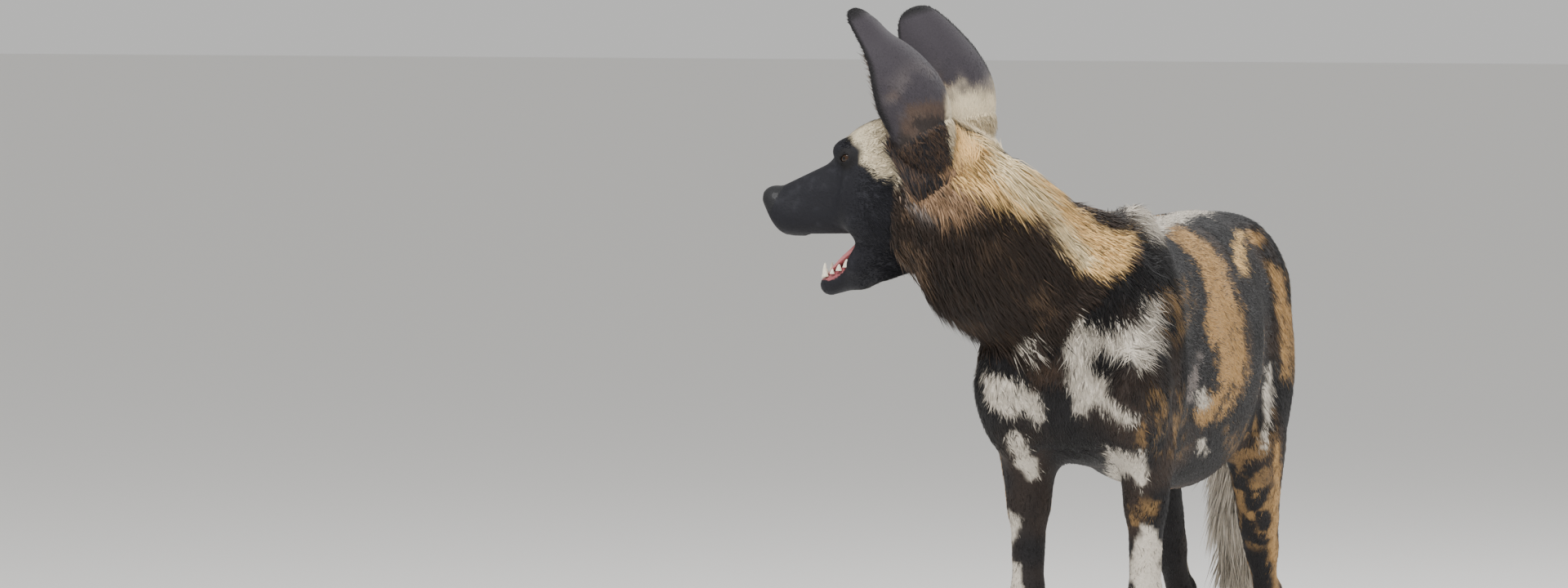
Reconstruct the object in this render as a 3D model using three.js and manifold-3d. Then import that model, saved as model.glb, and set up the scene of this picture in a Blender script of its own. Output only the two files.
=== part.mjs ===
// African wild dog, life size, standing with its head turned to its right and its mouth open.
// Units are millimetres. +Z is up, the dog's chest faces -Y, its left side is +X, and the floor is z = 0.
// The body is a smooth union of simple muscle and bone forms. Each part is a skin of rings cast
// outwards from a spine onto that union, and thin cuts keep the parts apart.
import * as THREE from "three";
import { mergeVertices } from "three/addons/utils/BufferGeometryUtils.js";
import Module from "manifold-3d";

const wasm = await Module();
wasm.setup();

// Driving dimensions
const GAP = 0.3; // between touching parts
const FRONT_TRACK = 72; // half the distance between the forefeet
const HIND_TRACK = 56; // half the distance between the hind feet
const FORE_Y = -242; // forearm line along the body
const HIND_Y = 365; // hock line along the body
const HEAD = { nose: -361, middle: -340 }; // x of the nose tip, y of the head's middle plane
const EAR_THICKNESS = 2.4;
const LOCK_THICKNESS = 7;
const EYE_RADIUS = 10.5;

const V = (x, y, z) => new THREE.Vector3(x, y, z);
const clamp = THREE.MathUtils.clamp;
const lerp = THREE.MathUtils.lerp;
const DOWN = V(0, 0, -1);
const ACROSS = V(1, 0, 0);

// A head point: back is the distance behind the nose tip, side is towards the dog's left,
// and z is its height.
const headPoint = (back, side, z) => V(HEAD.nose + back, HEAD.middle - side, z);

// Smooth blends of distance-like fields
function smoothMin(a, b, k) {
  const h = Math.max(k - Math.abs(a - b), 0) / k;
  return Math.min(a, b) - h * h * k * 0.25;
}

function blend(k, ...fields) {
  return (p) => fields.reduce((d, f) => smoothMin(d, f(p), k), 1e6);
}

// An ellipsoid with half sizes along x, y and z.
function ellipsoid(centre, size, turn = null) {
  const q = new THREE.Vector3();
  const back = turn ? new THREE.Quaternion().setFromEuler(turn).invert() : null;
  const least = Math.min(size.x, size.y, size.z);
  return (p) => {
    q.copy(p).sub(centre);
    if (back) q.applyQuaternion(back);
    const k = q.divide(size).length();
    return (k - 1) * (k > 1 ? Math.min(least * 1.6, (size.x + size.y + size.z) / 3) : least);
  };
}

// A tapered limb from a to b. Each end has a half width across the side direction and a half depth.
function limb(a, b, [widthA, depthA], [widthB, depthB], side = V(1, 0, 0)) {
  const ab = b.clone().sub(a);
  const length2 = ab.lengthSq();
  const q = new THREE.Vector3();
  const across = side.clone().addScaledVector(ab, -side.dot(ab) / length2).normalize();
  return (p) => {
    q.copy(p).sub(a);
    const t = clamp(q.dot(ab) / length2, 0, 1);
    q.addScaledVector(ab, -t);
    const w = lerp(widthA, widthB, t);
    const d = lerp(depthA, depthB, t);
    const s = q.dot(across);
    q.addScaledVector(across, -s);
    return (Math.hypot(s / w, q.length() / d) - 1) * Math.min(w, d);
  };
}

// A value read from rows of [key, value, ...] with smooth steps between them.
function along(rows, key, column) {
  const last = rows.length - 1;
  if (key <= rows[0][0]) return rows[0][column];
  if (key >= rows[last][0]) return rows[last][column];
  const i = rows.findIndex((r) => r[0] > key) - 1;
  const at = (j) => rows[clamp(j, 0, last)];
  const [p0, p1, p2, p3] = [at(i - 1), at(i), at(i + 1), at(i + 2)];
  const span = p2[0] - p1[0];
  const t = (key - p1[0]) / span;
  const slope = (a, b) => ((b[column] - a[column]) / Math.max(b[0] - a[0], 1)) * span;
  const m1 = slope(p0, p2);
  const m2 = slope(p1, p3);
  const t2 = t * t;
  const t3 = t2 * t;
  return (
    (2 * t3 - 3 * t2 + 1) * p1[column] +
    (t3 - 2 * t2 + t) * m1 +
    (3 * t2 - 2 * t3) * p2[column] +
    (t3 - t2) * m2
  );
}

// The barrel of the body: y, top, underside, half width and height of the widest place.
const BARREL = [
  [-338, 590, 500, 30, 545],
  [-318, 632, 452, 66, 545],
  [-280, 668, 424, 88, 540],
  [-240, 694, 409, 97, 535],
  [-190, 699, 402, 101, 530],
  [-110, 694, 392, 107, 535],
  [-20, 694, 372, 114, 535],
  [60, 695, 361, 117, 535],
  [140, 696, 362, 111, 545],
  [200, 697, 384, 96, 555],
  [260, 695, 422, 82, 565],
  [320, 688, 465, 72, 575],
  [370, 668, 520, 56, 590],
  [402, 640, 570, 22, 605],
];

function barrel(p) {
  const first = BARREL[0][0];
  const last = BARREL[BARREL.length - 1][0];
  const y = clamp(p.y, first, last);
  const [top, under, half, wide] = [1, 2, 3, 4].map((c) => along(BARREL, y, c));
  const dz = p.z - wide;
  const h = dz > 0 ? top - wide : wide - under;
  const n = dz > 0 ? 2.0 : 2.15;
  const r = (Math.abs(p.x / half) ** n + Math.abs(dz / h) ** n) ** (1 / n);
  const d = (r - 1) * 0.5 * (half + h);
  const past = Math.abs(p.y - y);
  return past > 0 ? Math.hypot(Math.max(d, 0), past) : d;
}

// Front leg joints for one side, +1 for the left
function frontLeg(s) {
  const j = {
    blade: V(s * 42, -170, 672),
    point: V(s * 78, -300, 506),
    elbow: V(s * 70, FORE_Y + 22, 400),
    wrist: V(s * (FRONT_TRACK - 1), FORE_Y - 6, 172),
    fetlock: V(s * FRONT_TRACK, FORE_Y - 22, 52),
    toes: V(s * FRONT_TRACK, FORE_Y - 62, 24),
  };
  const upper = blend(
    34,
    limb(j.blade, j.point, [24, 44], [29, 42]),
    limb(j.point, V(s * 72, FORE_Y, 420), [33, 48], [30, 44]),
    ellipsoid(V(s * 76, -212, 512), V(28, 60, 78)),
    ellipsoid(V(s * 70, -298, 486), V(32, 32, 52)),
  );
  const lower = blend(
    14,
    limb(V(s * 72, FORE_Y + 6, 436), V(s * 71, FORE_Y + 2, 370), [30, 43], [27, 34]),
    limb(V(s * 71, FORE_Y + 2, 372), V(s * 71, FORE_Y - 2, 260), [26, 31], [20, 22]),
    limb(V(s * 71, FORE_Y - 2, 262), j.wrist, [19, 21], [17.5, 18.5]),
    ellipsoid(V(s * 71, FORE_Y + 36, 418), V(15, 18, 24)),
    ellipsoid(j.wrist, V(19.5, 21, 26)),
    limb(j.wrist, j.fetlock, [17, 17], [17.5, 17]),
    ellipsoid(V(s * 72, FORE_Y + 14, 150), V(8, 8, 11)),
  );
  return { joints: j, upper, lower };
}

// Hind leg joints for one side
function hindLeg(s) {
  const j = {
    hip: V(s * 46, 312, 610),
    stifle: V(s * 72, 232, 420),
    hock: V(s * (HIND_TRACK - 2), HIND_Y, 200),
    heel: V(s * (HIND_TRACK - 2), HIND_Y + 18, 226),
    fetlock: V(s * HIND_TRACK, HIND_Y - 12, 52),
    toes: V(s * HIND_TRACK, HIND_Y - 50, 24),
  };
  const upper = blend(
    36,
    limb(V(s * 44, 318, 606), V(s * 68, 246, 430), [38, 70], [32, 46]),
    limb(V(s * 46, 352, 590), V(s * 58, 318, 400), [34, 44], [25, 32]),
    ellipsoid(V(s * 66, 285, 500), V(34, 74, 96)),
    limb(j.stifle, V(s * 60, 296, 322), [30, 48], [24, 34]),
  );
  const lower = blend(
    15,
    limb(V(s * 66, 262, 398), V(s * 58, 322, 282), [27, 46], [20, 29]),
    limb(V(s * 58, 322, 284), j.hock, [19, 27], [15.5, 20]),
    limb(V(s * 58, 340, 300), j.heel, [9, 11], [9, 10]),
    ellipsoid(V(s * 54, HIND_Y + 4, 204), V(16.5, 20, 24)),
    limb(j.heel, V(s * 54, HIND_Y + 6, 150), [11, 11], [13, 14]),
    limb(j.hock, j.fetlock, [15, 17.5], [15.5, 15]),
  );
  return { joints: j, upper, lower };
}

// A paw: pastern, four toes and the pads, longer for the forefoot
function paw(fetlock, toes, reach, width) {
  const forms = [
    limb(fetlock.clone().add(V(0, 0, 8)), V(toes.x, toes.y + reach * 0.62, 24), [17, 17], [19, 19]),
    ellipsoid(V(toes.x, toes.y + reach * 0.5, 15), V(width * 0.6, reach * 0.6, 18)),
  ];
  const toeNumbers = [-1.5, -0.5, 0.5, 1.5];
  for (const n of toeNumbers) {
    const outer = Math.abs(n) > 1;
    const x = toes.x + n * width * 0.34;
    const y = toes.y + (outer ? 10 : 0);
    forms.push(limb(V(toes.x + n * width * 0.24, y + reach * 0.55, 24), V(x, y, 12), [9, 13], [9.5, 13]));
  }
  return blend(7, ...forms);
}

// Claws of a paw, four in a row
function clawTips(toes, width) {
  return [-1.5, -0.5, 0.5, 1.5].map((n) => {
    const outer = Math.abs(n) > 1;
    return V(toes.x + n * width * 0.35, toes.y - 7 + (outer ? 10 : 0), 12.5);
  });
}

// Neck: its spine runs up and forwards, and bends to the dog's right
const NECK = [
  V(10, -196, 592),
  V(-22, -258, 616),
  V(-62, -304, 648),
  V(-104, -330, 684),
  V(-142, -340, 722),
  V(-168, -340, 748),
];
const NECK_SIDE = V(0.62, -0.76, 0);
const neckForms = [
  limb(NECK[0], NECK[1], [80, 86], [76, 88], NECK_SIDE),
  limb(NECK[1], NECK[2], [76, 88], [72, 86], NECK_SIDE),
  limb(NECK[2], NECK[3], [72, 86], [68, 90], NECK_SIDE),
  limb(NECK[3], NECK[4], [68, 90], [64, 93], NECK_SIDE),
];
const neckField = blend(30, ...neckForms);

// Head forms above the mouth
const headField = blend(
  13,
  limb(headPoint(24, 0, 709), headPoint(96, 0, 724), [24, 28.5], [35, 46], V(0, 1, 0)),
  limb(headPoint(38, 0, 700), headPoint(112, 0, 704), [26, 20], [33, 24], V(0, 1, 0)),
  ellipsoid(headPoint(9, 0, 722), V(12, 16, 13)),
  ellipsoid(headPoint(158, 0, 762), V(72, 52, 57)),
  ellipsoid(headPoint(208, 0, 768), V(44, 40, 40)),
  ellipsoid(headPoint(146, 36, 716), V(46, 30, 50)),
  ellipsoid(headPoint(146, -36, 716), V(46, 30, 50)),
  ellipsoid(headPoint(106, 25, 779), V(17, 15, 13)),
  ellipsoid(headPoint(106, -25, 779), V(17, 15, 13)),
  ellipsoid(headPoint(158, 0, 692), V(36, 46, 46)),
);

// Lower jaw
const jawField = blend(
  9,
  limb(headPoint(80, 0, 622), headPoint(116, 0, 636), [20, 13.5], [26, 18], V(0, 1, 0)),
  limb(headPoint(116, 0, 636), headPoint(172, 0, 668), [27, 19], [38, 32], V(0, 1, 0)),
  limb(headPoint(122, 30, 648), headPoint(160, 38, 690), [11, 16], [14, 26], V(0, 1, 0)),
  limb(headPoint(122, -30, 648), headPoint(160, -38, 690), [11, 16], [14, 26], V(0, 1, 0)),
);

// Tail: hangs between the hind legs, with a full brush
const TAIL = [
  V(0, 384, 648),
  V(-4, 432, 600),
  V(-16, 452, 520),
  V(-22, 454, 430),
  V(-16, 452, 330),
  V(-6, 450, 232),
];
const tailThickness = [
  [0, 24, 26],
  [0.18, 21, 23],
  [0.4, 24, 26],
  [0.62, 31, 32],
  [0.82, 28, 28],
  [1, 11, 11],
];

// Solid helpers
function toSolid(geometry) {
  const bare = geometry.clone();
  bare.deleteAttribute("normal");
  bare.deleteAttribute("uv");
  const merged = mergeVertices(bare, 1e-3);
  return new wasm.Manifold(
    new wasm.Mesh({
      numProp: 3,
      vertProperties: new Float32Array(merged.attributes.position.array),
      triVerts: new Uint32Array(merged.index.array),
    }),
  );
}

function toGeometry(solid) {
  const mesh = solid.getMesh();
  const positions = new Float32Array(mesh.numVert * 3);
  for (let i = 0; i < mesh.numVert; i++) {
    positions.set(mesh.vertProperties.subarray(i * mesh.numProp, i * mesh.numProp + 3), i * 3);
  }
  const geometry = new THREE.BufferGeometry();
  geometry.setAttribute("position", new THREE.BufferAttribute(positions, 3));
  geometry.setIndex(new THREE.BufferAttribute(new Uint32Array(mesh.triVerts), 1));
  geometry.computeVertexNormals();
  return geometry;
}

function largest(solid) {
  return solid.decompose().sort((a, b) => b.volume() - a.volume())[0];
}

// A closed skin from rings of points. Each end closes on a pole, or without one as a flat strip between the
// two halves of its ring.
function closedSkin(rings, startPole = null, endPole = null) {
  const n = rings[0].length;
  const points = rings.flat();
  const index = [];
  const id = (r, s) => r * n + (s % n);
  for (let r = 0; r + 1 < rings.length; r++) {
    for (let s = 0; s < n; s++) {
      index.push(id(r, s), id(r + 1, s + 1), id(r, s + 1), id(r, s), id(r + 1, s), id(r + 1, s + 1));
    }
  }
  const close = (r, pole, turn) => {
    const face = (a, b, c) => (turn ? index.push(a, c, b) : index.push(a, b, c));
    if (pole) {
      points.push(pole);
      for (let s = 0; s < n; s++) face(points.length - 1, id(r, s), id(r, s + 1));
      return;
    }
    for (let s = 0; s + 1 < n / 2; s++) {
      face(id(r, s), id(r, s + 1), id(r, n - 2 - s));
      face(id(r, s), id(r, n - 2 - s), id(r, n - 1 - s));
    }
  };
  close(0, startPole, false);
  close(rings.length - 1, endPole, true);
  const geometry = new THREE.BufferGeometry();
  const numbers = points.flatMap((p) => [p.x, p.y, p.z]);
  geometry.setAttribute("position", new THREE.Float32BufferAttribute(numbers, 3));
  geometry.setIndex(index);
  return geometry;
}

// The first place along a ray where the field turns positive
function cast(field, from, direction, grow) {
  const step = 4;
  const p = new THREE.Vector3();
  const value = (d) => field(p.copy(from).addScaledVector(direction, d)) - grow;
  let far = step;
  while (value(far) < 0 && far < 400) far += step;
  let near = far - step;
  for (let i = 0; i < 14; i++) {
    const mid = (near + far) / 2;
    if (value(mid) < 0) near = mid;
    else far = mid;
  }
  return from.clone().addScaledVector(direction, (near + far) / 2);
}

// A skin cast outwards from a spine curve. Rings fan round both ends.
function castSkin(field, spine, ringCount, sides, grow = 0, upright = V(0, 0, 1)) {
  const curve = new THREE.CatmullRomCurve3(spine, false, "centripetal");
  const fan = [70, 48, 24];
  const rings = [];
  const addRing = (t, tilt) => {
    const centre = curve.getPointAt(t);
    const tangent = curve.getTangentAt(t);
    const right = new THREE.Vector3().crossVectors(tangent, upright).normalize();
    const up = new THREE.Vector3().crossVectors(right, tangent).normalize();
    const lean = THREE.MathUtils.degToRad(tilt);
    const ring = [];
    for (let s = 0; s < sides; s++) {
      const a = (s / sides) * Math.PI * 2;
      const out = right.clone().multiplyScalar(Math.cos(a)).addScaledVector(up, Math.sin(a));
      out.multiplyScalar(Math.cos(lean)).addScaledVector(tangent, Math.sin(lean));
      ring.push(cast(field, centre, out, grow));
    }
    rings.push(ring);
  };
  for (const a of fan) addRing(0, -a);
  for (let r = 0; r <= ringCount; r++) addRing(r / ringCount, 0);
  for (const a of [...fan].reverse()) addRing(1, a);
  const start = cast(field, curve.getPointAt(0), curve.getTangentAt(0).negate(), grow);
  const end = cast(field, curve.getPointAt(1), curve.getTangentAt(1), grow);
  return toSolid(closedSkin(rings, start, end));
}

// The part of a solid on the far side of a plane, the side its normal points to
function beyond(solid, point, normal, gap = GAP / 2) {
  const n = normal.clone().normalize();
  return solid.trimByPlane([n.x, n.y, n.z], n.dot(point) + gap);
}

// The finished nodes
const dog = new THREE.Group();
const palette = {
  coat: new THREE.MeshStandardMaterial({ color: 0x2a2422, roughness: 0.85 }),
  mane: new THREE.MeshStandardMaterial({ color: 0x9c7c50, roughness: 0.85 }),
  brush: new THREE.MeshStandardMaterial({ color: 0xd9d6c8, roughness: 0.85 }),
  ear: new THREE.MeshStandardMaterial({ color: 0x3a3336, roughness: 0.8 }),
  eye: new THREE.MeshStandardMaterial({ color: 0x20120a, roughness: 0.1 }),
  nose: new THREE.MeshStandardMaterial({ color: 0x0d0d10, roughness: 0.45 }),
  tongue: new THREE.MeshStandardMaterial({ color: 0xb0525a, roughness: 0.5 }),
};

function addNode(name, solid, material) {
  const mesh = new THREE.Mesh(toGeometry(largest(solid)), material);
  mesh.name = name;
  dog.add(mesh);
}

const sides = { left: 1, right: -1 };
const legs = Object.fromEntries(
  Object.entries(sides).map(([name, s]) => [name, { front: frontLeg(s), hind: hindLeg(s) }]),
);

function frontLegSkin(side, grow) {
  const s = sides[side];
  const { front } = legs[side];
  const spine = [
    V(s * 78, -228, 590),
    V(s * 76, -244, 500),
    V(s * 72, FORE_Y + 6, 420),
    V(s * 71, FORE_Y, 300),
    front.joints.wrist,
    front.joints.fetlock,
  ];
  return castSkin(blend(22, front.upper, front.lower), spine, 17, 12, grow, ACROSS);
}

// Torso: barrel, with the shoulder and haunch masses blended in
const chestForm = ellipsoid(V(-4, -300, 522), V(66, 44, 66));
const torsoField = blend(24, barrel, chestForm, ellipsoid(V(0, 330, 640), V(44, 62, 36)));
const TORSO_SPINE = [V(0, -290, 540), V(0, -150, 545), V(0, 40, 532), V(0, 200, 550), V(0, 362, 600)];
const torso = castSkin(torsoField, TORSO_SPINE, 17, 24);
const torsoRoom = castSkin(torsoField, TORSO_SPINE, 17, 24, GAP);
addNode("torso", torso, palette.coat);

// Head, above a spine through the muzzle and skull
const HEAD_SPINE = [
  headPoint(20, 0, 711),
  headPoint(70, 0, 718),
  headPoint(120, 0, 734),
  headPoint(200, 0, 756),
];
const headSkin = (grow) => castSkin(headField, HEAD_SPINE, 18, 24, grow);
const neckCut = { point: headPoint(196, 0, 760), normal: V(-1, 0, 0.12) };

// Eyes stand in sockets cut in the head
const eyeCentre = (s) => headPoint(113, s * 33, 770);
const eyeBall = (radius) => new THREE.SphereGeometry(radius, 14, 10);
function ball(centre, radius) {
  return toSolid(eyeBall(radius).translate(centre.x, centre.y, centre.z));
}

// Tongue and jaw
const tongueField = blend(
  8,
  limb(headPoint(92, 0, 644), headPoint(118, 0, 652), [13, 4.5], [17, 6], V(0, 1, 0)),
  limb(headPoint(118, 0, 652), headPoint(150, 0, 668), [17, 6], [18, 8], V(0, 1, 0)),
);
const TONGUE_SPINE = [headPoint(92, 0, 644), headPoint(118, 0, 652), headPoint(146, 0, 666)];
const JAW_SPINE = [headPoint(82, 0, 622), headPoint(116, 0, 636), headPoint(166, 0, 664)];

// Lids: a rim that slants down towards the nose
function lids(s) {
  const gaze = V(-0.42, -s * 0.9, 0.06).normalize();
  const rim = new THREE.TorusGeometry(EYE_RADIUS * 0.86, 3.4, 5, 14);
  rim.scale(1.12, 0.82, 1);
  rim.applyQuaternion(new THREE.Quaternion().setFromUnitVectors(V(0, 0, 1), gaze));
  const at = eyeCentre(s).addScaledVector(gaze, 5.4);
  return toSolid(rim.translate(at.x, at.y, at.z));
}

const headRoom = headSkin(GAP);
let head = beyond(headSkin(0), neckCut.point, neckCut.normal);
for (const s of [1, -1]) head = head.add(lids(s));
for (const s of [1, -1]) head = head.subtract(ball(eyeCentre(s), EYE_RADIUS + GAP));
const noseCut = { point: headPoint(13, 0, 726), normal: V(1, 0, -0.35) };
let nosePad = beyond(head, noseCut.point, noseCut.normal.clone().negate());
for (const s of [1, -1]) {
  const nostril = new THREE.SphereGeometry(1, 8, 6).scale(7, 3.2, 4.2);
  const at = headPoint(1, s * 6.5, 724);
  nosePad = nosePad.subtract(toSolid(nostril.rotateZ(s * 0.5).translate(at.x, at.y, at.z)));
}
addNode("nose", nosePad, palette.nose);
head = beyond(head, noseCut.point, noseCut.normal);

// Teeth of the lower jaw stand in two rows that meet at the incisors: back, side, height, half width
function lowerTeeth() {
  const rows = [
    [76, 13.5, 14.5, 4.2],
    [84, 17, 5, 3],
    [93, 19.5, 6.5, 3.6],
    [103, 22, 8.5, 4.4],
    [114, 24.5, 11, 5.4],
  ];
  const solids = [];
  for (const s of [1, -1]) {
    for (const [back, side, height, half] of rows) {
      const gum = 634 + (back - 76) * 0.42;
      const cone = new THREE.ConeGeometry(half, height + 10, 5).rotateX(Math.PI / 2);
      const at = headPoint(back, s * side, gum + height / 2 - 3);
      solids.push(toSolid(cone.translate(at.x, at.y, at.z)));
    }
    for (const side of [3, 9]) {
      const cone = new THREE.ConeGeometry(2.8, 13, 4).rotateX(Math.PI / 2);
      const at = headPoint(70 + side * 0.25, s * side, 636);
      solids.push(toSolid(cone.translate(at.x, at.y, at.z)));
    }
  }
  return solids;
}

let jaw = castSkin(jawField, JAW_SPINE, 8, 14);
jaw = jaw.subtract(castSkin(tongueField, TONGUE_SPINE, 6, 14, GAP + 1.5));
for (const tooth of lowerTeeth()) jaw = jaw.add(tooth);
const jawClear = jaw.subtract(headRoom);
addNode("lower_jaw", jawClear, palette.coat);
const tongue = castSkin(tongueField, TONGUE_SPINE, 6, 14).subtract(headRoom);
addNode("tongue", tongue, palette.tongue);

// Ears: a rounded cup that opens from a rolled base and leans. Each row gives the share of the ear's height,
// half the width along the curl, half the angle that it curls through, and the lean to the left.
const EARS = {
  ear_left: {
    base: headPoint(220, 50, 775),
    tip: headPoint(122, 60, 943),
    facing: V(-0.9, 0.42, 0.12),
    rows: [
      [0, 60, 125, 2],
      [0.12, 67, 118, 13],
      [0.3, 73, 100, 24],
      [0.45, 71, 84, 25],
      [0.58, 58, 72, 22],
      [0.68, 43, 60, 17],
      [0.78, 29, 52, 9],
      [0.9, 21, 48, 4],
      [0.97, 13, 46, 1],
      [1, 5, 44, 0],
    ],
  },
  ear_right: {
    base: headPoint(218, -50, 784),
    tip: headPoint(160, -68, 944),
    facing: V(-0.42, 0.9, 0.1),
    rows: [
      [0, 58, 122, 6],
      [0.15, 66, 110, 17],
      [0.35, 67, 92, 22],
      [0.55, 58, 72, 17],
      [0.72, 47, 60, 9],
      [0.85, 35, 52, 3],
      [0.94, 24, 48, 0],
      [0.98, 15, 46, 0],
      [1, 6, 44, 0],
    ],
  },
};

function ear({ base, tip, facing, rows: table }, grow = 0) {
  const axis = tip.clone().sub(base);
  const height = axis.length();
  axis.normalize();
  const face = facing.clone().addScaledVector(axis, -facing.dot(axis)).normalize();
  const across = new THREE.Vector3().crossVectors(axis, face).normalize();
  const [rows, columns] = [10, 9];
  const wider = 2 * grow;
  const place = (u, v, deep) => {
    const level = v + ((2 * v - 1) * wider) / height;
    const half = along(table, level, 1);
    const roll = THREE.MathUtils.degToRad(along(table, level, 2));
    const radius = half / roll;
    const a = u * roll * (1 + wider / half);
    return base
      .clone()
      .addScaledVector(axis, height * level)
      .addScaledVector(across, (radius + deep) * Math.sin(a))
      .addScaledVector(face, radius * 0.6 - (radius + deep) * Math.cos(a))
      .add(V(along(table, level, 3), 0, 0));
  };
  const rings = [];
  for (let r = 0; r <= rows; r++) {
    const v = 1 - (1 - r / rows) ** 1.3;
    const ring = [];
    for (let c = 0; c <= columns; c++) ring.push(place((c / columns) * 2 - 1, v, EAR_THICKNESS / 2 + grow));
    for (let c = columns; c >= 0; c--) ring.push(place((c / columns) * 2 - 1, v, -EAR_THICKNESS / 2 - grow));
    rings.push(ring);
  }
  return toSolid(closedSkin(rings));
}

for (const [name, shape] of Object.entries(EARS)) addNode(name, ear(shape).subtract(headRoom), palette.ear);
addNode("head", head, palette.coat);
addNode("eye_left", ball(eyeCentre(1), EYE_RADIUS), palette.eye);
addNode("eye_right", ball(eyeCentre(-1), EYE_RADIUS), palette.eye);

// A lock of hair: flat, tapered and bent. It leaves the surface at its root and lies along the coat.
function lock(root, along3, out, length, width, lift) {
  const side = new THREE.Vector3().crossVectors(along3, out).normalize();
  const rows = [
    [-0.12, 0.7, 1],
    [0.2, 1, 1],
    [0.6, 0.8, 0.7],
    [0.88, 0.38, 0.4],
  ];
  const centre = (t) =>
    root
      .clone()
      .addScaledVector(along3, length * t)
      .addScaledVector(out, lift * (1 - (1 - Math.max(t, 0)) ** 2) - (t < 0 ? 6 : 2) * (1 - t));
  const rings = rows.map(([t, w, d]) => {
    const c = centre(t);
    const [half, deep] = [(width / 2) * w, LOCK_THICKNESS * 0.5 * d];
    return [
      c.clone().addScaledVector(side, half),
      c.clone().addScaledVector(out, deep),
      c.clone().addScaledVector(side, -half),
      c.clone().addScaledVector(out, -deep),
    ];
  });
  return toSolid(closedSkin(rings, centre(-0.2), centre(1)));
}

// Locks in rows over a skin. Each row stands at a share of the spine, and each lock at an angle round it.
function locks(field, spine, { rows, lie, upright = V(0, 0, 1) }) {
  const curve = new THREE.CatmullRomCurve3(spine, false, "centripetal");
  const solids = [];
  rows.forEach(({ at, from, to, count, length, width, lift }, r) => {
    const centre = curve.getPointAt(at);
    const tangent = curve.getTangentAt(at);
    const right = new THREE.Vector3().crossVectors(tangent, upright).normalize();
    const up = new THREE.Vector3().crossVectors(right, tangent).normalize();
    for (let i = 0; i < count; i++) {
      const spread = (i + 0.5 + (r % 2 ? 0.25 : -0.25)) / count;
      const a = THREE.MathUtils.degToRad(lerp(from, to, spread));
      const out = right.clone().multiplyScalar(Math.cos(a)).addScaledVector(up, Math.sin(a));
      const root = cast(field, centre, out, 0);
      const flow = lie(root, tangent);
      flow.addScaledVector(out, -flow.dot(out)).normalize();
      const uneven = 1 + 0.16 * Math.sin(i * 2.4 + r * 1.7);
      solids.push(lock(root, flow, out, length * uneven, width, lift));
    }
  });
  return solids;
}

// Neck, cut clear of the torso and the head
const NECK_SPINE = [NECK[0], NECK[1], NECK[2], NECK[3], NECK[4]];
const neckRows = [
  { at: 0.88, from: -170, to: 190, count: 9, length: 68, width: 50, lift: 15 },
  { at: 0.67, from: -170, to: 190, count: 9, length: 80, width: 50, lift: 18 },
  { at: 0.46, from: -170, to: 190, count: 9, length: 84, width: 52, lift: 18 },
  { at: 0.25, from: -170, to: 190, count: 9, length: 88, width: 52, lift: 18 },
  { at: 0.07, from: -150, to: -30, count: 4, length: 76, width: 46, lift: 15 },
];
const neckLie = (root, tangent) => tangent.clone().negate().add(V(0, 0, -0.35));
let neck = castSkin(neckField, NECK_SPINE, 12, 22);
for (const solid of locks(neckField, NECK_SPINE, { rows: neckRows, lie: neckLie })) neck = neck.add(solid);
neck = neck.subtract(torsoRoom);
for (const side of Object.keys(sides)) neck = neck.subtract(frontLegSkin(side, GAP));
neck = beyond(neck, neckCut.point, neckCut.normal.clone().negate(), GAP / 2).subtract(
  headRoom.add(castSkin(jawField, JAW_SPINE, 8, 14, GAP)),
);
for (const shape of Object.values(EARS)) neck = neck.subtract(ear(shape, 2 * GAP)).subtract(ear(shape));
addNode("neck", neck, palette.mane);

// Tail
function tailForm(share) {
  const curve = new THREE.CatmullRomCurve3(TAIL, false, "centripetal");
  const count = 12;
  const forms = [];
  for (let i = 0; i < count; i++) {
    const [t0, t1] = [i / count, (i + 1) / count];
    const at = (t) => [along(tailThickness, t, 1) * share, along(tailThickness, t, 2) * share];
    forms.push(limb(curve.getPointAt(t0), curve.getPointAt(t1), at(t0), at(t1)));
  }
  return blend(8, ...forms);
}
const tailRows = [
  { at: 0.3, from: 0, to: 360, count: 5, length: 66, width: 28, lift: 8 },
  { at: 0.46, from: 0, to: 360, count: 5, length: 70, width: 30, lift: 11 },
  { at: 0.62, from: 0, to: 360, count: 6, length: 76, width: 32, lift: 11 },
  { at: 0.78, from: 0, to: 360, count: 6, length: 80, width: 30, lift: 9 },
  { at: 0.93, from: 0, to: 360, count: 4, length: 62, width: 22, lift: 0 },
];
const tailField = tailForm(0.78);
let tail = castSkin(tailField, TAIL, 12, 12, 0, ACROSS);
const tailLie = (root, tangent) => tangent.clone();
const tailLocks = locks(tailField, TAIL, { rows: tailRows, lie: tailLie, upright: ACROSS });
for (const solid of tailLocks) tail = tail.add(solid);
addNode("tail", tail.subtract(torsoRoom), palette.brush);

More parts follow.
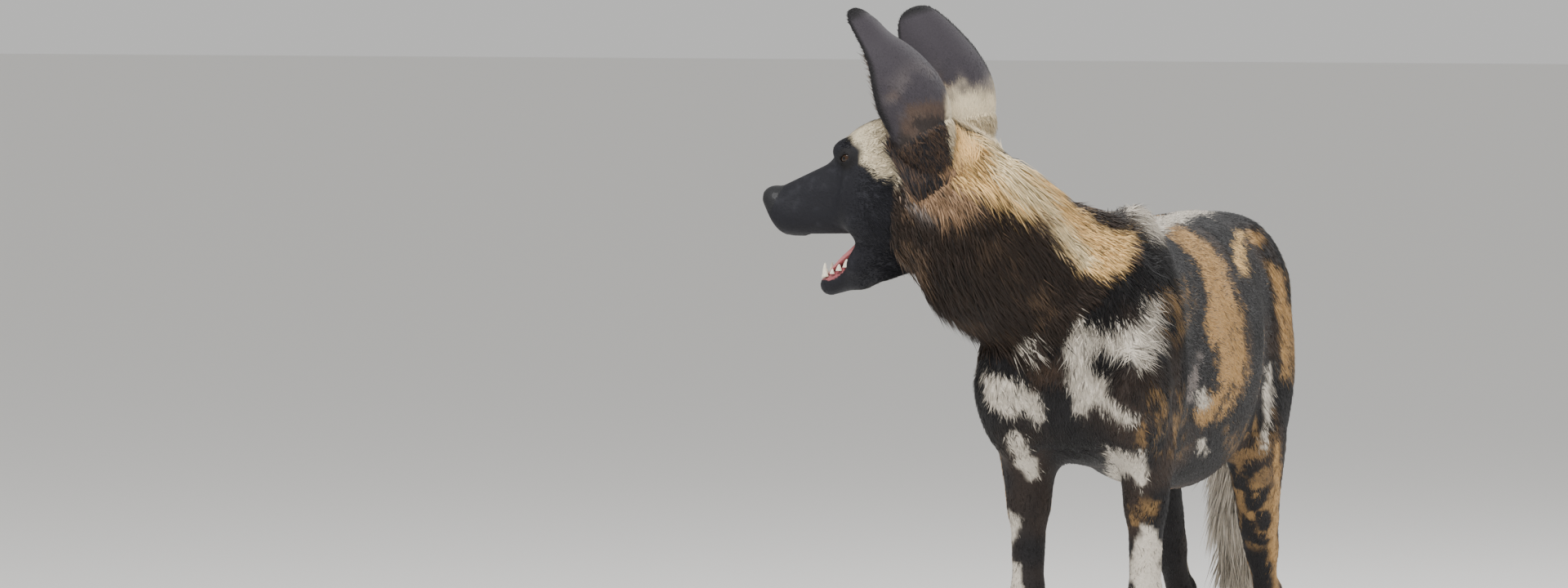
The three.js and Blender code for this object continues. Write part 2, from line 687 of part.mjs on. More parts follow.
// Legs: upper, lower and paw on each side, parted by level cuts
const FRONT = { upperCut: 428, pawCut: 62, reach: 50, width: 58 };
const HIND = { upperCut: 392, pawCut: 62, reach: 46, width: 52 };
for (const [side, s] of Object.entries(sides)) {
  const { front, hind } = legs[side];
  const frontSkin = frontLegSkin(side, 0);
  const frontUpper = beyond(frontSkin, V(0, 0, FRONT.upperCut), V(0, 0, 1)).subtract(torsoRoom);
  addNode(`front_${side}_upper`, frontUpper, palette.coat);
  const belowElbow = beyond(frontSkin, V(0, 0, FRONT.upperCut), DOWN);
  const frontLower = beyond(belowElbow, V(0, 0, FRONT.pawCut), V(0, 0, 1));
  addNode(`front_${side}_lower`, frontLower.subtract(torsoRoom), palette.coat);
  addPaw(`front_${side}_paw`, front.joints, FRONT);

  const hindWhole = blend(24, hind.upper, hind.lower);
  const hindSpine = [
    V(s * 52, 316, 600),
    V(s * 62, 290, 500),
    V(s * 66, 262, 410),
    V(s * 59, 314, 296),
    V(s * 54, HIND_Y - 2, 206),
    hind.joints.fetlock,
  ];
  const hindSkin = castSkin(hindWhole, hindSpine, 18, 12, 0, ACROSS);
  const thigh = beyond(hindSkin, V(0, 0, HIND.upperCut), V(0, 0, 1));
  addNode(`hind_${side}_upper`, thigh.subtract(torsoRoom), palette.coat);
  const hindLower = beyond(beyond(hindSkin, V(0, 0, HIND.upperCut), DOWN), V(0, 0, HIND.pawCut), V(0, 0, 1));
  addNode(`hind_${side}_lower`, hindLower.subtract(torsoRoom), palette.coat);
  addPaw(`hind_${side}_paw`, hind.joints, HIND);
}

// A paw with its claws, flat where it stands
function addPaw(name, joints, { pawCut, reach, width }) {
  const field = paw(joints.fetlock, joints.toes, reach, width);
  const spine = [
    V(joints.fetlock.x, joints.fetlock.y, 66),
    V(joints.toes.x, joints.toes.y + reach * 0.7, 30),
    V(joints.toes.x, joints.toes.y + 12, 18),
  ];
  let solid = castSkin(field, spine, 5, 20, 0, ACROSS);
  for (const tip of clawTips(joints.toes, width)) {
    const claw = new THREE.ConeGeometry(3, 20, 5).rotateX(Math.PI).rotateX(-Math.PI / 2 + Math.PI - 0.45);
    solid = solid.add(toSolid(claw.translate(tip.x, tip.y, tip.z)));
  }
  solid = beyond(beyond(solid, V(0, 0, pawCut), DOWN), V(0, 0, 0), V(0, 0, 1), 0);
  addNode(name, solid, palette.coat);
}

// The origin is on the floor under the middle of the bounding box.
const box = new THREE.Box3().setFromObject(dog);
const middle = box.getCenter(new THREE.Vector3());
for (const mesh of dog.children) mesh.geometry.translate(-middle.x, -middle.y, -box.min.z);

export default dog;
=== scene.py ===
# African wild dog, life size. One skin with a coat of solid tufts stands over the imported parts.
# The body is described in millimetres in the dog's own frame, as in the part: the chest faces -Y,
# the dog's left side is +X and the floor is z = 0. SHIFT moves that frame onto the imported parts.
import math

import bpy
import numpy as np
from mathutils import Matrix, Vector


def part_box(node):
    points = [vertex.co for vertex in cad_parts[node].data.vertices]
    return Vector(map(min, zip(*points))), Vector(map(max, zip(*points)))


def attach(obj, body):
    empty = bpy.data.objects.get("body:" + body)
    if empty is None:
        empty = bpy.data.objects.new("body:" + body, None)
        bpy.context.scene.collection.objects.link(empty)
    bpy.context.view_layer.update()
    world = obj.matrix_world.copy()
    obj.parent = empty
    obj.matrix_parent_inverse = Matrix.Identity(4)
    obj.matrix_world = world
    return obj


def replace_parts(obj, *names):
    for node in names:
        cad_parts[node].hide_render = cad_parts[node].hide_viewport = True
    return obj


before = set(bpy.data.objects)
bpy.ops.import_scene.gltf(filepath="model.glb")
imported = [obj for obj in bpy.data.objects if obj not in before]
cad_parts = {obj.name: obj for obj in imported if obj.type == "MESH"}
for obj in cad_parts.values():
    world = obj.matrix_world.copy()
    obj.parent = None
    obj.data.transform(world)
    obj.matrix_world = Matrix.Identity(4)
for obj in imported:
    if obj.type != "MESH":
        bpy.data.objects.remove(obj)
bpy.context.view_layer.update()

SEED = 7
rng = np.random.default_rng(SEED)

# Named sizes, shared with the part
FRONT_TRACK = 72.0
HIND_TRACK = 56.0
FORE_Y = -242.0
HIND_Y = 365.0
NOSE_X = -361.0
HEAD_Y = -340.0
EYE_RADIUS = 10.5
EYE_BACK = 113.0
EYE_SIDE = 33.0
EYE_Z = 770.0
SIDES = (("left", 1), ("right", -1))


def head(back, side, z):
    """A head point: distance behind the nose tip, distance to the dog's left, and height."""
    return (NOSE_X + back, HEAD_Y - side, z)


def eye_centre(s):
    return np.array(head(EYE_BACK, s * EYE_SIDE, EYE_Z))


def packed_shift():
    """The step from the dog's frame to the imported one, read from the left eye."""
    low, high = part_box("eye_left")
    step = (np.array(low) + np.array(high)) / 2 - eye_centre(1) / 1000
    step[2] = 0.0
    return step


SHIFT = packed_shift()


def to_packed(points):
    """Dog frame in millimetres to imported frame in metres."""
    return np.asarray(points, float) / 1000 + SHIFT


# The photograph's camera in the dog's frame
VIEW_AZIMUTH = math.radians(17.8)
VIEW_ELEVATION = math.radians(2.5)
VIEW_DISTANCE = 12000.0
MM_PER_PIXEL = 0.95
FOCAL_PIXELS = VIEW_DISTANCE / MM_PER_PIXEL
FRAME_WIDTH = 1920
FRAME_HEIGHT = 720
SENSOR_MM = 36.0
ANCHOR = np.array([0.0, -240.0, 700.0])
ANCHOR_PIXEL = (1332.0, 266.0)

view_forward = np.array([
    -math.sin(VIEW_AZIMUTH) * math.cos(VIEW_ELEVATION),
    math.cos(VIEW_AZIMUTH) * math.cos(VIEW_ELEVATION),
    -math.sin(VIEW_ELEVATION),
])
view_right = np.array([math.cos(VIEW_AZIMUTH), math.sin(VIEW_AZIMUTH), 0.0])
view_up = np.cross(view_right, view_forward)
view_point = (
    ANCHOR
    - VIEW_DISTANCE * view_forward
    - (ANCHOR_PIXEL[0] - FRAME_WIDTH / 2) * MM_PER_PIXEL * view_right
    - (FRAME_HEIGHT / 2 - ANCHOR_PIXEL[1]) * MM_PER_PIXEL * view_up
)


def to_pixels(points):
    """Where points of the dog's frame fall in the photograph."""
    q = points - view_point
    depth = q @ view_forward
    across = FRAME_WIDTH / 2 + FOCAL_PIXELS * (q @ view_right) / depth
    down = FRAME_HEIGHT / 2 - FOCAL_PIXELS * (q @ view_up) / depth
    return np.stack([across, down], -1)


# Small helpers
def ramp(value, start, end):
    """A share that goes from 0 at start to 1 at end."""
    return np.clip((value - start) / (end - start), 0, 1)


def step_up(value, low, high):
    """A ramp with smooth ends."""
    t = ramp(value, low, high)
    return t * t * (3 - 2 * t)


def direction(v):
    """One vector, at length 1."""
    v = np.array(v, float)
    return v / np.linalg.norm(v)


def unit(rows):
    """Many vectors, each at length 1."""
    return rows / np.maximum(np.linalg.norm(rows, axis=1), 1e-9)[:, None]


def from_line(points, a, b):
    """How far along the line from a to b points lie, as a share, and their offsets from it."""
    ab = b - a
    t = np.clip((points - a) @ ab / (ab @ ab), 0, 1)
    return t, points - a - t[:, None] * ab


# Distance-like fields of simple forms
OUTER_SLOPE = 1.6


def smooth_min(a, b, k):
    h = np.maximum(k - np.abs(a - b), 0) / k
    return np.minimum(a, b) - h * h * k * 0.25


def carve(field, tool, k):
    """Cuts a form out of a field, with an edge of softness k."""
    return -smooth_min(-field, tool, k)


class Ellipsoid:
    def __init__(self, centre, size):
        self.centre = np.array(centre, float)
        self.size = np.array(size, float)
        self.low = self.centre - self.size
        self.high = self.centre + self.size

    def __call__(self, x, y, z):
        c, s = self.centre, self.size
        k = np.sqrt(((x - c[0]) / s[0]) ** 2 + ((y - c[1]) / s[1]) ** 2 + ((z - c[2]) / s[2]) ** 2)
        least = s.min()
        return (k - 1) * np.where(k > 1, min(least * OUTER_SLOPE, s.mean()), least)


class Limb:
    """A tapered limb. Each end has a half width across the side direction and a half depth."""

    def __init__(self, a, b, size_a, size_b, side=(1, 0, 0)):
        self.a = np.array(a, float)
        self.ab = np.array(b, float) - self.a
        self.length2 = self.ab @ self.ab
        side = np.array(side, float)
        self.side = direction(side - self.ab * (side @ self.ab) / self.length2)
        self.size_a = size_a
        self.size_b = size_b
        reach = max(size_a + size_b)
        self.low = np.minimum(self.a, self.a + self.ab) - reach
        self.high = np.maximum(self.a, self.a + self.ab) + reach

    def __call__(self, x, y, z):
        qx, qy, qz = x - self.a[0], y - self.a[1], z - self.a[2]
        t = np.clip((qx * self.ab[0] + qy * self.ab[1] + qz * self.ab[2]) / self.length2, 0, 1)
        qx = qx - self.ab[0] * t
        qy = qy - self.ab[1] * t
        qz = qz - self.ab[2] * t
        w = self.size_a[0] + (self.size_b[0] - self.size_a[0]) * t
        d = self.size_a[1] + (self.size_b[1] - self.size_a[1]) * t
        s = qx * self.side[0] + qy * self.side[1] + qz * self.side[2]
        rest = np.sqrt(np.maximum(qx * qx + qy * qy + qz * qz - s * s, 0))
        return (np.sqrt((s / w) ** 2 + (rest / d) ** 2) - 1) * np.minimum(w, d)


# The barrel of the body: y, top, underside, half width and height of the widest place
BARREL = np.array([
    [-338, 590, 500, 30, 545],
    [-318, 632, 452, 66, 545],
    [-280, 668, 424, 88, 540],
    [-240, 694, 409, 97, 535],
    [-190, 699, 402, 101, 530],
    [-110, 694, 392, 107, 535],
    [-20, 694, 372, 114, 535],
    [60, 695, 361, 117, 535],
    [140, 696, 362, 111, 545],
    [200, 697, 384, 96, 555],
    [260, 695, 422, 82, 565],
    [320, 688, 465, 72, 575],
    [370, 668, 520, 56, 590],
    [402, 640, 570, 22, 605],
], float)


def along(rows, key, column):
    """A value read from rows of [key, value, ...] with smooth steps between them."""
    keys, values = rows[:, 0], rows[:, column]
    slopes = np.gradient(values, keys)
    i = np.clip(np.searchsorted(keys, key, side="right") - 1, 0, len(keys) - 2)
    span = keys[i + 1] - keys[i]
    t = np.clip((key - keys[i]) / span, 0, 1)
    t2, t3 = t * t, t * t * t
    return (
        (2 * t3 - 3 * t2 + 1) * values[i]
        + (t3 - 2 * t2 + t) * slopes[i] * span
        + (3 * t2 - 2 * t3) * values[i + 1]
        + (t3 - t2) * slopes[i + 1] * span
    )


BACK_ROUND = 2.0
BELLY_ROUND = 2.15


class Barrel:
    low = np.array([-125.0, -350.0, 350.0])
    high = np.array([125.0, 415.0, 710.0])

    def __call__(self, x, y, z):
        inside = np.clip(y, BARREL[0, 0], BARREL[-1, 0])
        top, under, half, wide = (along(BARREL, inside, c) for c in (1, 2, 3, 4))
        dz = z - wide
        h = np.where(dz > 0, top - wide, wide - under)
        n = np.where(dz > 0, BACK_ROUND, BELLY_ROUND)
        r = (np.abs(x / half) ** n + np.abs(dz / h) ** n) ** (1 / n)
        d = (r - 1) * 0.5 * (half + h)
        past = np.abs(y - inside)
        return np.where(past > 0, np.hypot(np.maximum(d, 0), past), d)


def front_leg(s):
    wrist = (s * (FRONT_TRACK - 1), FORE_Y - 6, 172)
    fetlock = (s * FRONT_TRACK, FORE_Y - 22, 52)
    blade = (s * 42, -170, 672)
    point = (s * 78, -300, 506)
    upper = [
        Limb(blade, point, (24, 44), (29, 42)),
        Limb(point, (s * 72, FORE_Y, 420), (33, 48), (30, 44)),
        Ellipsoid((s * 76, -212, 512), (28, 60, 78)),
        Ellipsoid((s * 70, -298, 486), (32, 32, 52)),
    ]
    lower = [
        Limb((s * 72, FORE_Y + 6, 436), (s * 71, FORE_Y + 2, 370), (30, 43), (27, 34)),
        Limb((s * 71, FORE_Y + 2, 372), (s * 71, FORE_Y - 2, 260), (26, 31), (20, 22)),
        Limb((s * 71, FORE_Y - 2, 262), wrist, (19, 21), (17.5, 18.5)),
        Ellipsoid((s * 71, FORE_Y + 36, 418), (15, 18, 24)),
        Ellipsoid(wrist, (19.5, 21, 26)),
        Limb(wrist, fetlock, (17, 17), (17.5, 17)),
        Ellipsoid((s * 72, FORE_Y + 14, 150), (8, 8, 11)),
    ]
    return upper, lower, fetlock, (s * FRONT_TRACK, FORE_Y - 62, 24)


def hind_leg(s):
    stifle = (s * 72, 232, 420)
    hock = (s * (HIND_TRACK - 2), HIND_Y, 200)
    heel = (s * (HIND_TRACK - 2), HIND_Y + 18, 226)
    fetlock = (s * HIND_TRACK, HIND_Y - 12, 52)
    upper = [
        Limb((s * 44, 318, 606), (s * 68, 246, 430), (38, 70), (32, 46)),
        Limb((s * 46, 352, 590), (s * 58, 318, 400), (34, 44), (25, 32)),
        Ellipsoid((s * 66, 285, 500), (34, 74, 96)),
        Limb(stifle, (s * 60, 296, 322), (30, 48), (24, 34)),
    ]
    lower = [
        Limb((s * 66, 262, 398), (s * 58, 322, 282), (27, 46), (20, 29)),
        Limb((s * 58, 322, 284), hock, (19, 27), (15.5, 20)),
        Limb((s * 58, 340, 300), heel, (9, 11), (9, 10)),
        Ellipsoid((s * 54, HIND_Y + 4, 204), (16.5, 20, 24)),
        Limb(heel, (s * 54, HIND_Y + 6, 150), (11, 11), (13, 14)),
        Limb(hock, fetlock, (15, 17.5), (15.5, 15)),
    ]
    return upper, lower, fetlock, (s * HIND_TRACK, HIND_Y - 50, 24)


TOES = (-1.5, -0.5, 0.5, 1.5)
TOE_HEIGHT = 12.0
TOE_SPREAD = 0.35
OUTER_TOE_BACK = 10
KNUCKLE_SPREAD = 0.24
KNUCKLE_HEIGHT = 24


def toe_tip(toes, n, width):
    """The front end of one toe. The outer toes stand further back."""
    back = OUTER_TOE_BACK if abs(n) > 1 else 0
    return np.array([toes[0] + n * width * TOE_SPREAD, toes[1] + back, TOE_HEIGHT])


def paw(fetlock, toes, reach, width):
    forms = [
        Limb((fetlock[0], fetlock[1], 60), (toes[0], toes[1] + reach * 0.62, 24), (17, 17), (19, 19)),
        Ellipsoid((toes[0], toes[1] + reach * 0.5, 15), (width * 0.6, reach * 0.6, 18)),
    ]
    for n in TOES:
        tip = toe_tip(toes, n, width)
        knuckle = (toes[0] + n * width * KNUCKLE_SPREAD, tip[1] + reach * 0.55, KNUCKLE_HEIGHT)
        forms.append(Limb(knuckle, tip, (8.6, 13), (9.2, 12.6)))
    return forms


def chain(line, sizes, side=(1, 0, 0)):
    """Limbs from point to point of a line."""
    return [Limb(line[i], line[i + 1], sizes[i], sizes[i + 1], side) for i in range(len(line) - 1)]


NECK = np.array([
    (10, -196, 592), (-22, -258, 616), (-62, -304, 648), (-104, -330, 684), (-142, -340, 722),
], float)
NECK_SIZES = [(74, 80), (70, 80), (66, 79), (62, 80), (58, 80)]
NECK_SIDE = (0.62, -0.76, 0)
TAIL = np.array([
    (0, 384, 648), (-4, 432, 600), (-16, 452, 520), (-22, 454, 430), (-16, 452, 330), (-6, 450, 232),
], float)
TAIL_SIZES = [(22, 24), (17, 18), (14, 15), (15, 16), (13, 14), (7, 7)]
HEAD_SIDE = (0, 1, 0)


def lump(back, side, z, size):
    """A rounded form on the head's left, and its twin on the right where it stands off the middle."""
    return [Ellipsoid(head(back, s * side, z), size) for s in ((1, -1) if side else (1,))]


def bar(start, end, size_a, size_b):
    """A limb on the head's left, and its twin on the right where it stands off the middle."""
    twins = (1, -1) if start[1] else (1,)
    ends = [[head(back, s * side, z) for back, side, z in (start, end)] for s in twins]
    return [Limb(a, b, size_a, size_b, HEAD_SIDE) for a, b in ends]


head_forms = [
    *bar((24, 0, 709), (96, 0, 724), (24, 28.5), (35, 46)),
    *bar((38, 0, 700), (112, 0, 704), (26, 20), (33, 24)),
    *lump(9, 0, 722, (12, 16, 13)),
    *lump(158, 0, 762, (72, 52, 57)),
    *lump(208, 0, 768, (44, 40, 40)),
    *lump(146, 36, 716, (46, 30, 50)),
    *lump(106, 25, 779, (17, 15, 13)),
    *lump(158, 0, 692, (36, 46, 46)),
    *lump(34, 15, 702, (20, 12, 15)),
    *bar((118, 36, 748), (158, 46, 738), (7, 8), (9, 10)),
]
jaw_forms = [
    *bar((80, 0, 622), (116, 0, 636), (20, 13.5), (26, 18)),
    *bar((116, 0, 636), (172, 0, 668), (27, 19), (38, 32)),
    *bar((122, 30, 648), (160, 38, 690), (11, 16), (14, 26)),
]
torso_forms = [Barrel(), Ellipsoid((-4, -300, 522), (66, 44, 66)), Ellipsoid((0, 330, 640), (44, 62, 36))]

# Legs: maker, reach and width of the paw, blends of the upper and the lower leg
LEGS = {
    "front": (front_leg, 50, 58, (34, 34), (14, 20)),
    "hind": (hind_leg, 46, 52, (36, 32), (15, 20)),
}

# Groups of forms: name, forms, blend inside the group, blend onto the rest
groups = [("torso", torso_forms, 24, 20)]
feet = []
for side_name, s in SIDES:
    for leg, (make, reach, width, upper_blend, lower_blend) in LEGS.items():
        upper, lower, fetlock, toes = make(s)
        groups += [
            (f"{leg}_{side_name}_upper", upper, *upper_blend),
            (f"{leg}_{side_name}_lower", lower, *lower_blend),
            (f"{leg}_{side_name}_paw", paw(fetlock, toes, reach, width), 6, 9),
        ]
        feet.append((toes, width))
groups += [
    ("neck", chain(NECK, NECK_SIZES, NECK_SIDE), 30, 40),
    ("tail", chain(TAIL, TAIL_SIZES), 8, 14),
    ("head", head_forms, 13, 26),
    ("lower_jaw", jaw_forms, 9, 8),
]
GROUP_NAMES = [g[0] for g in groups]
LABEL = {name: i for i, name in enumerate(GROUP_NAMES)}
UPPER_LEGS = [n for n in GROUP_NAMES if n.endswith("_upper")]
LOWER_LEGS = [n for n in GROUP_NAMES if n.endswith("_lower")]
PAWS = [n for n in GROUP_NAMES if n.endswith("_paw")]
HEAD_PARTS = ("head", "lower_jaw")


def is_in(label, names):
    return np.isin(label, [LABEL[n] for n in names])


def group_value(forms, k, x, y, z):
    d = None
    for form in forms:
        value = form(x, y, z)
        d = value if d is None else smooth_min(d, value, k)
    return d


SKIN_DEPTH = 4.0
FACE_GAIN = 2.6
FOOT_GAIN = 2.0


def coat_depth(x, z):
    """How far the skin lies inside the solids: least on the face and the feet."""
    face = ramp(x, -150, -210) * ramp(z, 560, 590)
    return SKIN_DEPTH - FACE_GAIN * face - FOOT_GAIN * ramp(z, 330, 210)


# Details of the head, cut into the skin field or added to it
LID_HALF_LENGTH = 7.6
LID_HALF_OPENING = 3.7
LID_TILT = math.radians(16)
LID_GAP = 0.9
LID_HALF_THICK = 1.5
HOLLOW_LESS = 0.4


def eye_fields(x, y, z, s):
    """The lids and the hollow that holds the eyeball.

    The lids are a thin shell over the eyeball's front. Their almond opening slants to the nose.
    """
    gaze = direction((-0.46, -s * 0.88, 0.04))
    centre = eye_centre(s)
    across = direction(np.cross(gaze, (0, 0, 1)) * s)
    side = across * math.cos(LID_TILT) - np.array([0, 0, 1.0]) * math.sin(LID_TILT)
    top = np.cross(side, gaze)
    q = (x - centre[0], y - centre[1], z - centre[2])

    def dot(v):
        return q[0] * v[0] + q[1] * v[1] + q[2] * v[2]

    radius = np.sqrt(q[0] ** 2 + q[1] ** 2 + q[2] ** 2)
    shell = np.abs(radius - EYE_RADIUS - LID_GAP) - LID_HALF_THICK
    almond = np.sqrt((dot(side) / LID_HALF_LENGTH) ** 2 + (dot(top) / LID_HALF_OPENING) ** 2)
    opening = (almond - 1) * LID_HALF_OPENING
    lids = np.maximum(np.maximum(shell, -opening), -dot(gaze) - 1)
    return lids, radius - EYE_RADIUS + HOLLOW_LESS


SNOUT_CUT = np.array(head(2, 0, 712))
SNOUT_OUT = np.array([-0.863, 0.0, -0.506])


def snout_slope(x, z):
    """The muzzle's front slopes back under the nose. The value is above zero in front of the slope."""
    return (x - SNOUT_CUT[0]) * SNOUT_OUT[0] + (z - SNOUT_CUT[2]) * SNOUT_OUT[2]


palate = Limb(head(58, 0, 677), head(116, 0, 679), (12, 8), (17, 10), HEAD_SIDE)
NOSTRIL_TURN = math.radians(30)
NOSTRIL_SIZE = (8.5, 3.0, 4.2)


def nostril_field(x, y, z, s):
    cx, cy, cz = head(2, s * 7.5, 723)
    long, wide, high = NOSTRIL_SIZE
    dx, dy, dz = x - cx, (y - cy) * s, z - cz
    c, n = math.cos(NOSTRIL_TURN), math.sin(NOSTRIL_TURN)
    u, v = dx * c - dy * n, dx * n + dy * c
    return (np.sqrt((u / long) ** 2 + (v / wide) ** 2 + (dz / high) ** 2) - 1) * wide


# The grid is finer round the head
def axis_lines(runs):
    """Grid lines from (start, end, step) runs."""
    return np.concatenate([np.arange(start, end, step) for start, end, step in runs])


GRID = (
    axis_lines([(-378, -165, 1.9), (-165, 128, 4.0)]),
    axis_lines([(-436, -400, 4.0), (-400, -280, 1.9), (-280, 500, 4.0)]),
    axis_lines([(-6, 70, 2.6), (70, 595, 4.2), (595, 842, 1.9)]),
)
MARGIN = 46
FAR_AWAY = 60.0
HEAD_LOW = (-400, -430, 590)
HEAD_HIGH = (-120, -250, 850)


def window(low, high):
    """The part of the grid between two corners, as slices, and its x, y and z."""
    span = tuple(
        slice(np.searchsorted(lines, a), np.searchsorted(lines, b)) for lines, a, b in zip(GRID, low, high)
    )
    x, y, z = (lines[part] for lines, part in zip(GRID, span))
    return span, x[:, None, None], y[None, :, None], z[None, None, :]


def skin_grid():
    field = np.full([len(lines) for lines in GRID], FAR_AWAY, np.float32)
    for _, forms, inner, outer in groups:
        low = np.min([f.low for f in forms], 0) - MARGIN
        high = np.max([f.high for f in forms], 0) + MARGIN
        span, x, y, z = window(low, high)
        field[span] = smooth_min(field[span], group_value(forms, inner, x, y, z), outer)
    head_span, x, y, z = window(HEAD_LOW, HEAD_HIGH)
    part = field[head_span] + coat_depth(x, z)
    part = carve(part, ramp(z, 672, 664) * 100 - snout_slope(x, z), 5.0)
    for s in (1, -1):
        lids, hollow = eye_fields(x, y, z, s)
        part = np.maximum(smooth_min(part, lids, 4.0), -hollow)
        part = carve(part, nostril_field(x, y, z, s), 1.5)
    part = carve(part, palate(x, y, z), 3.0).astype(np.float32)
    _, x, y, z = window((-np.inf,) * 3, (np.inf,) * 3)
    field = field + coat_depth(x, z).astype(np.float32)
    field[head_span] = part
    return np.maximum(field, -z.astype(np.float32))


def surface_net(field):
    """A quad skin of the field's zero, one vertex in each crossed cell."""
    inside = field < 0
    cells = np.zeros([n - 1 for n in field.shape], bool)
    corners = [(i, j, k) for i in (0, 1) for j in (0, 1) for k in (0, 1)]
    count = np.zeros(cells.shape, np.int8)
    for i, j, k in corners:
        count += inside[i:i + cells.shape[0], j:j + cells.shape[1], k:k + cells.shape[2]]
    active = np.argwhere((count > 0) & (count < 8))
    number = np.full(cells.shape, -1, np.int64)
    number[tuple(active.T)] = np.arange(len(active))
    total = np.zeros((len(active), 3))
    hits = np.zeros(len(active))
    for axis in range(3):
        others = [a for a in range(3) if a != axis]
        for u in (0, 1):
            for v in (0, 1):
                start = active.copy()
                start[:, others[0]] += u
                start[:, others[1]] += v
                end = start.copy()
                end[:, axis] += 1
                fa, fb = field[tuple(start.T)], field[tuple(end.T)]
                crossed = (fa < 0) != (fb < 0)
                share = np.where(crossed, fa / np.where(crossed, fa - fb, 1), 0)
                place = start.astype(float)
                place[:, axis] += share
                total += place * crossed[:, None]
                hits += crossed
    index = total / hits[:, None]
    points = np.stack([
        np.interp(index[:, a], np.arange(len(lines)), lines) for a, lines in enumerate(GRID)
    ], -1)
    quads = []
    for axis in range(3):
        a, b = (axis + 1) % 3, (axis + 2) % 3
        first = [slice(None)] * 3
        second = [slice(None)] * 3
        first[axis], second[axis] = slice(0, -1), slice(1, None)
        edge_in, edge_out = inside[tuple(first)], inside[tuple(second)]
        for wanted, flip in ((edge_in & ~edge_out, False), (~edge_in & edge_out, True)):
            e = np.argwhere(wanted)
            for other in (a, b):
                e = e[(e[:, other] > 0) & (e[:, other] < cells.shape[other])]
            ring = []
            for da, db in ((-1, -1), (0, -1), (0, 0), (-1, 0)):
                c = e.copy()
                c[:, a] += da
                c[:, b] += db
                ring.append(number[tuple(c.T)])
            quad = np.stack(ring, -1)
            quads.append(quad[:, ::-1] if flip else quad)
    return points, np.concatenate(quads)


NEAR = 30


def nearest_group(points):
    """The number of the group nearest to each point."""
    x, y, z = points.T
    best = np.full(len(points), 1e6)
    label = np.zeros(len(points), int)
    for i, (_, forms, inner, _) in enumerate(groups):
        low = np.min([f.low for f in forms], 0) - NEAR
        high = np.max([f.high for f in forms], 0) + NEAR
        near = np.all((points > low) & (points < high), 1)
        value = np.full(len(points), 1e6)
        value[near] = group_value(forms, inner, x[near], y[near], z[near])
        closer = value < best
        best[closer] = value[closer]
        label[closer] = i
    return label


# Seeded value noise, smooth in three dimensions
LATTICE_SIDE = 32
lattice = rng.random((LATTICE_SIDE,) * 3)


def noise(points, size, offset=0.0):
    p = points / size + offset
    i = np.floor(p).astype(int)
    f = p - i
    f = f * f * (3 - 2 * f)
    total = 0
    for step in np.ndindex(2, 2, 2):
        share = np.where(step, f, 1 - f)
        x, y, z = ((i + step) % LATTICE_SIDE).T
        total = total + share[:, 0] * share[:, 1] * share[:, 2] * lattice[x, y, z]
    return total


def clouds(points, size, offset=0.0):
    """Two octaves of noise, centred on zero."""
    return (noise(points, size, offset) * 0.67 + noise(points, size * 0.45, offset + 9.3) * 0.33) - 0.5


# Colours, linear
BLACK = (0.009, 0.008, 0.009)
DARK_BROWN = (0.026, 0.016, 0.011)
BROWN = (0.070, 0.043, 0.028)
MASK = (0.010, 0.010, 0.014)
EAR_GREY = (0.034, 0.029, 0.035)
GREY = (0.20, 0.17, 0.155)
OCHRE = (0.46, 0.27, 0.10)
TAWNY = (0.30, 0.185, 0.105)
GOLD = (0.80, 0.52, 0.21)
PALE_GOLD = (0.86, 0.70, 0.42)
CREAM = (0.72, 0.61, 0.42)
WHITE = (0.63, 0.57, 0.48)
PINK = (0.34, 0.10, 0.11)
MASK_MOTTLE_AND_SHEEN = (0.021, 0.021, 0.027)
NOSE_BLACK = (0.012, 0.012, 0.014)
EAR_INSIDE = (0.10, 0.078, 0.072)
FRINGE = (0.15, 0.12, 0.10)
EYE_RIM = (0.05, 0.04, 0.036)
IRIS = (0.036, 0.018, 0.009)
PUPIL = (0.003, 0.003, 0.003)
IVORY = (0.74, 0.68, 0.54)
CLAW = (0.03, 0.026, 0.024)
TONGUE_DARK = (0.36, 0.10, 0.11, 1)
TONGUE_LIGHT = (0.52, 0.18, 0.18, 1)
FLOOR_PALE = (0.84, 0.83, 0.81, 1)
SKY_PALE = (0.84, 0.835, 0.82, 1)

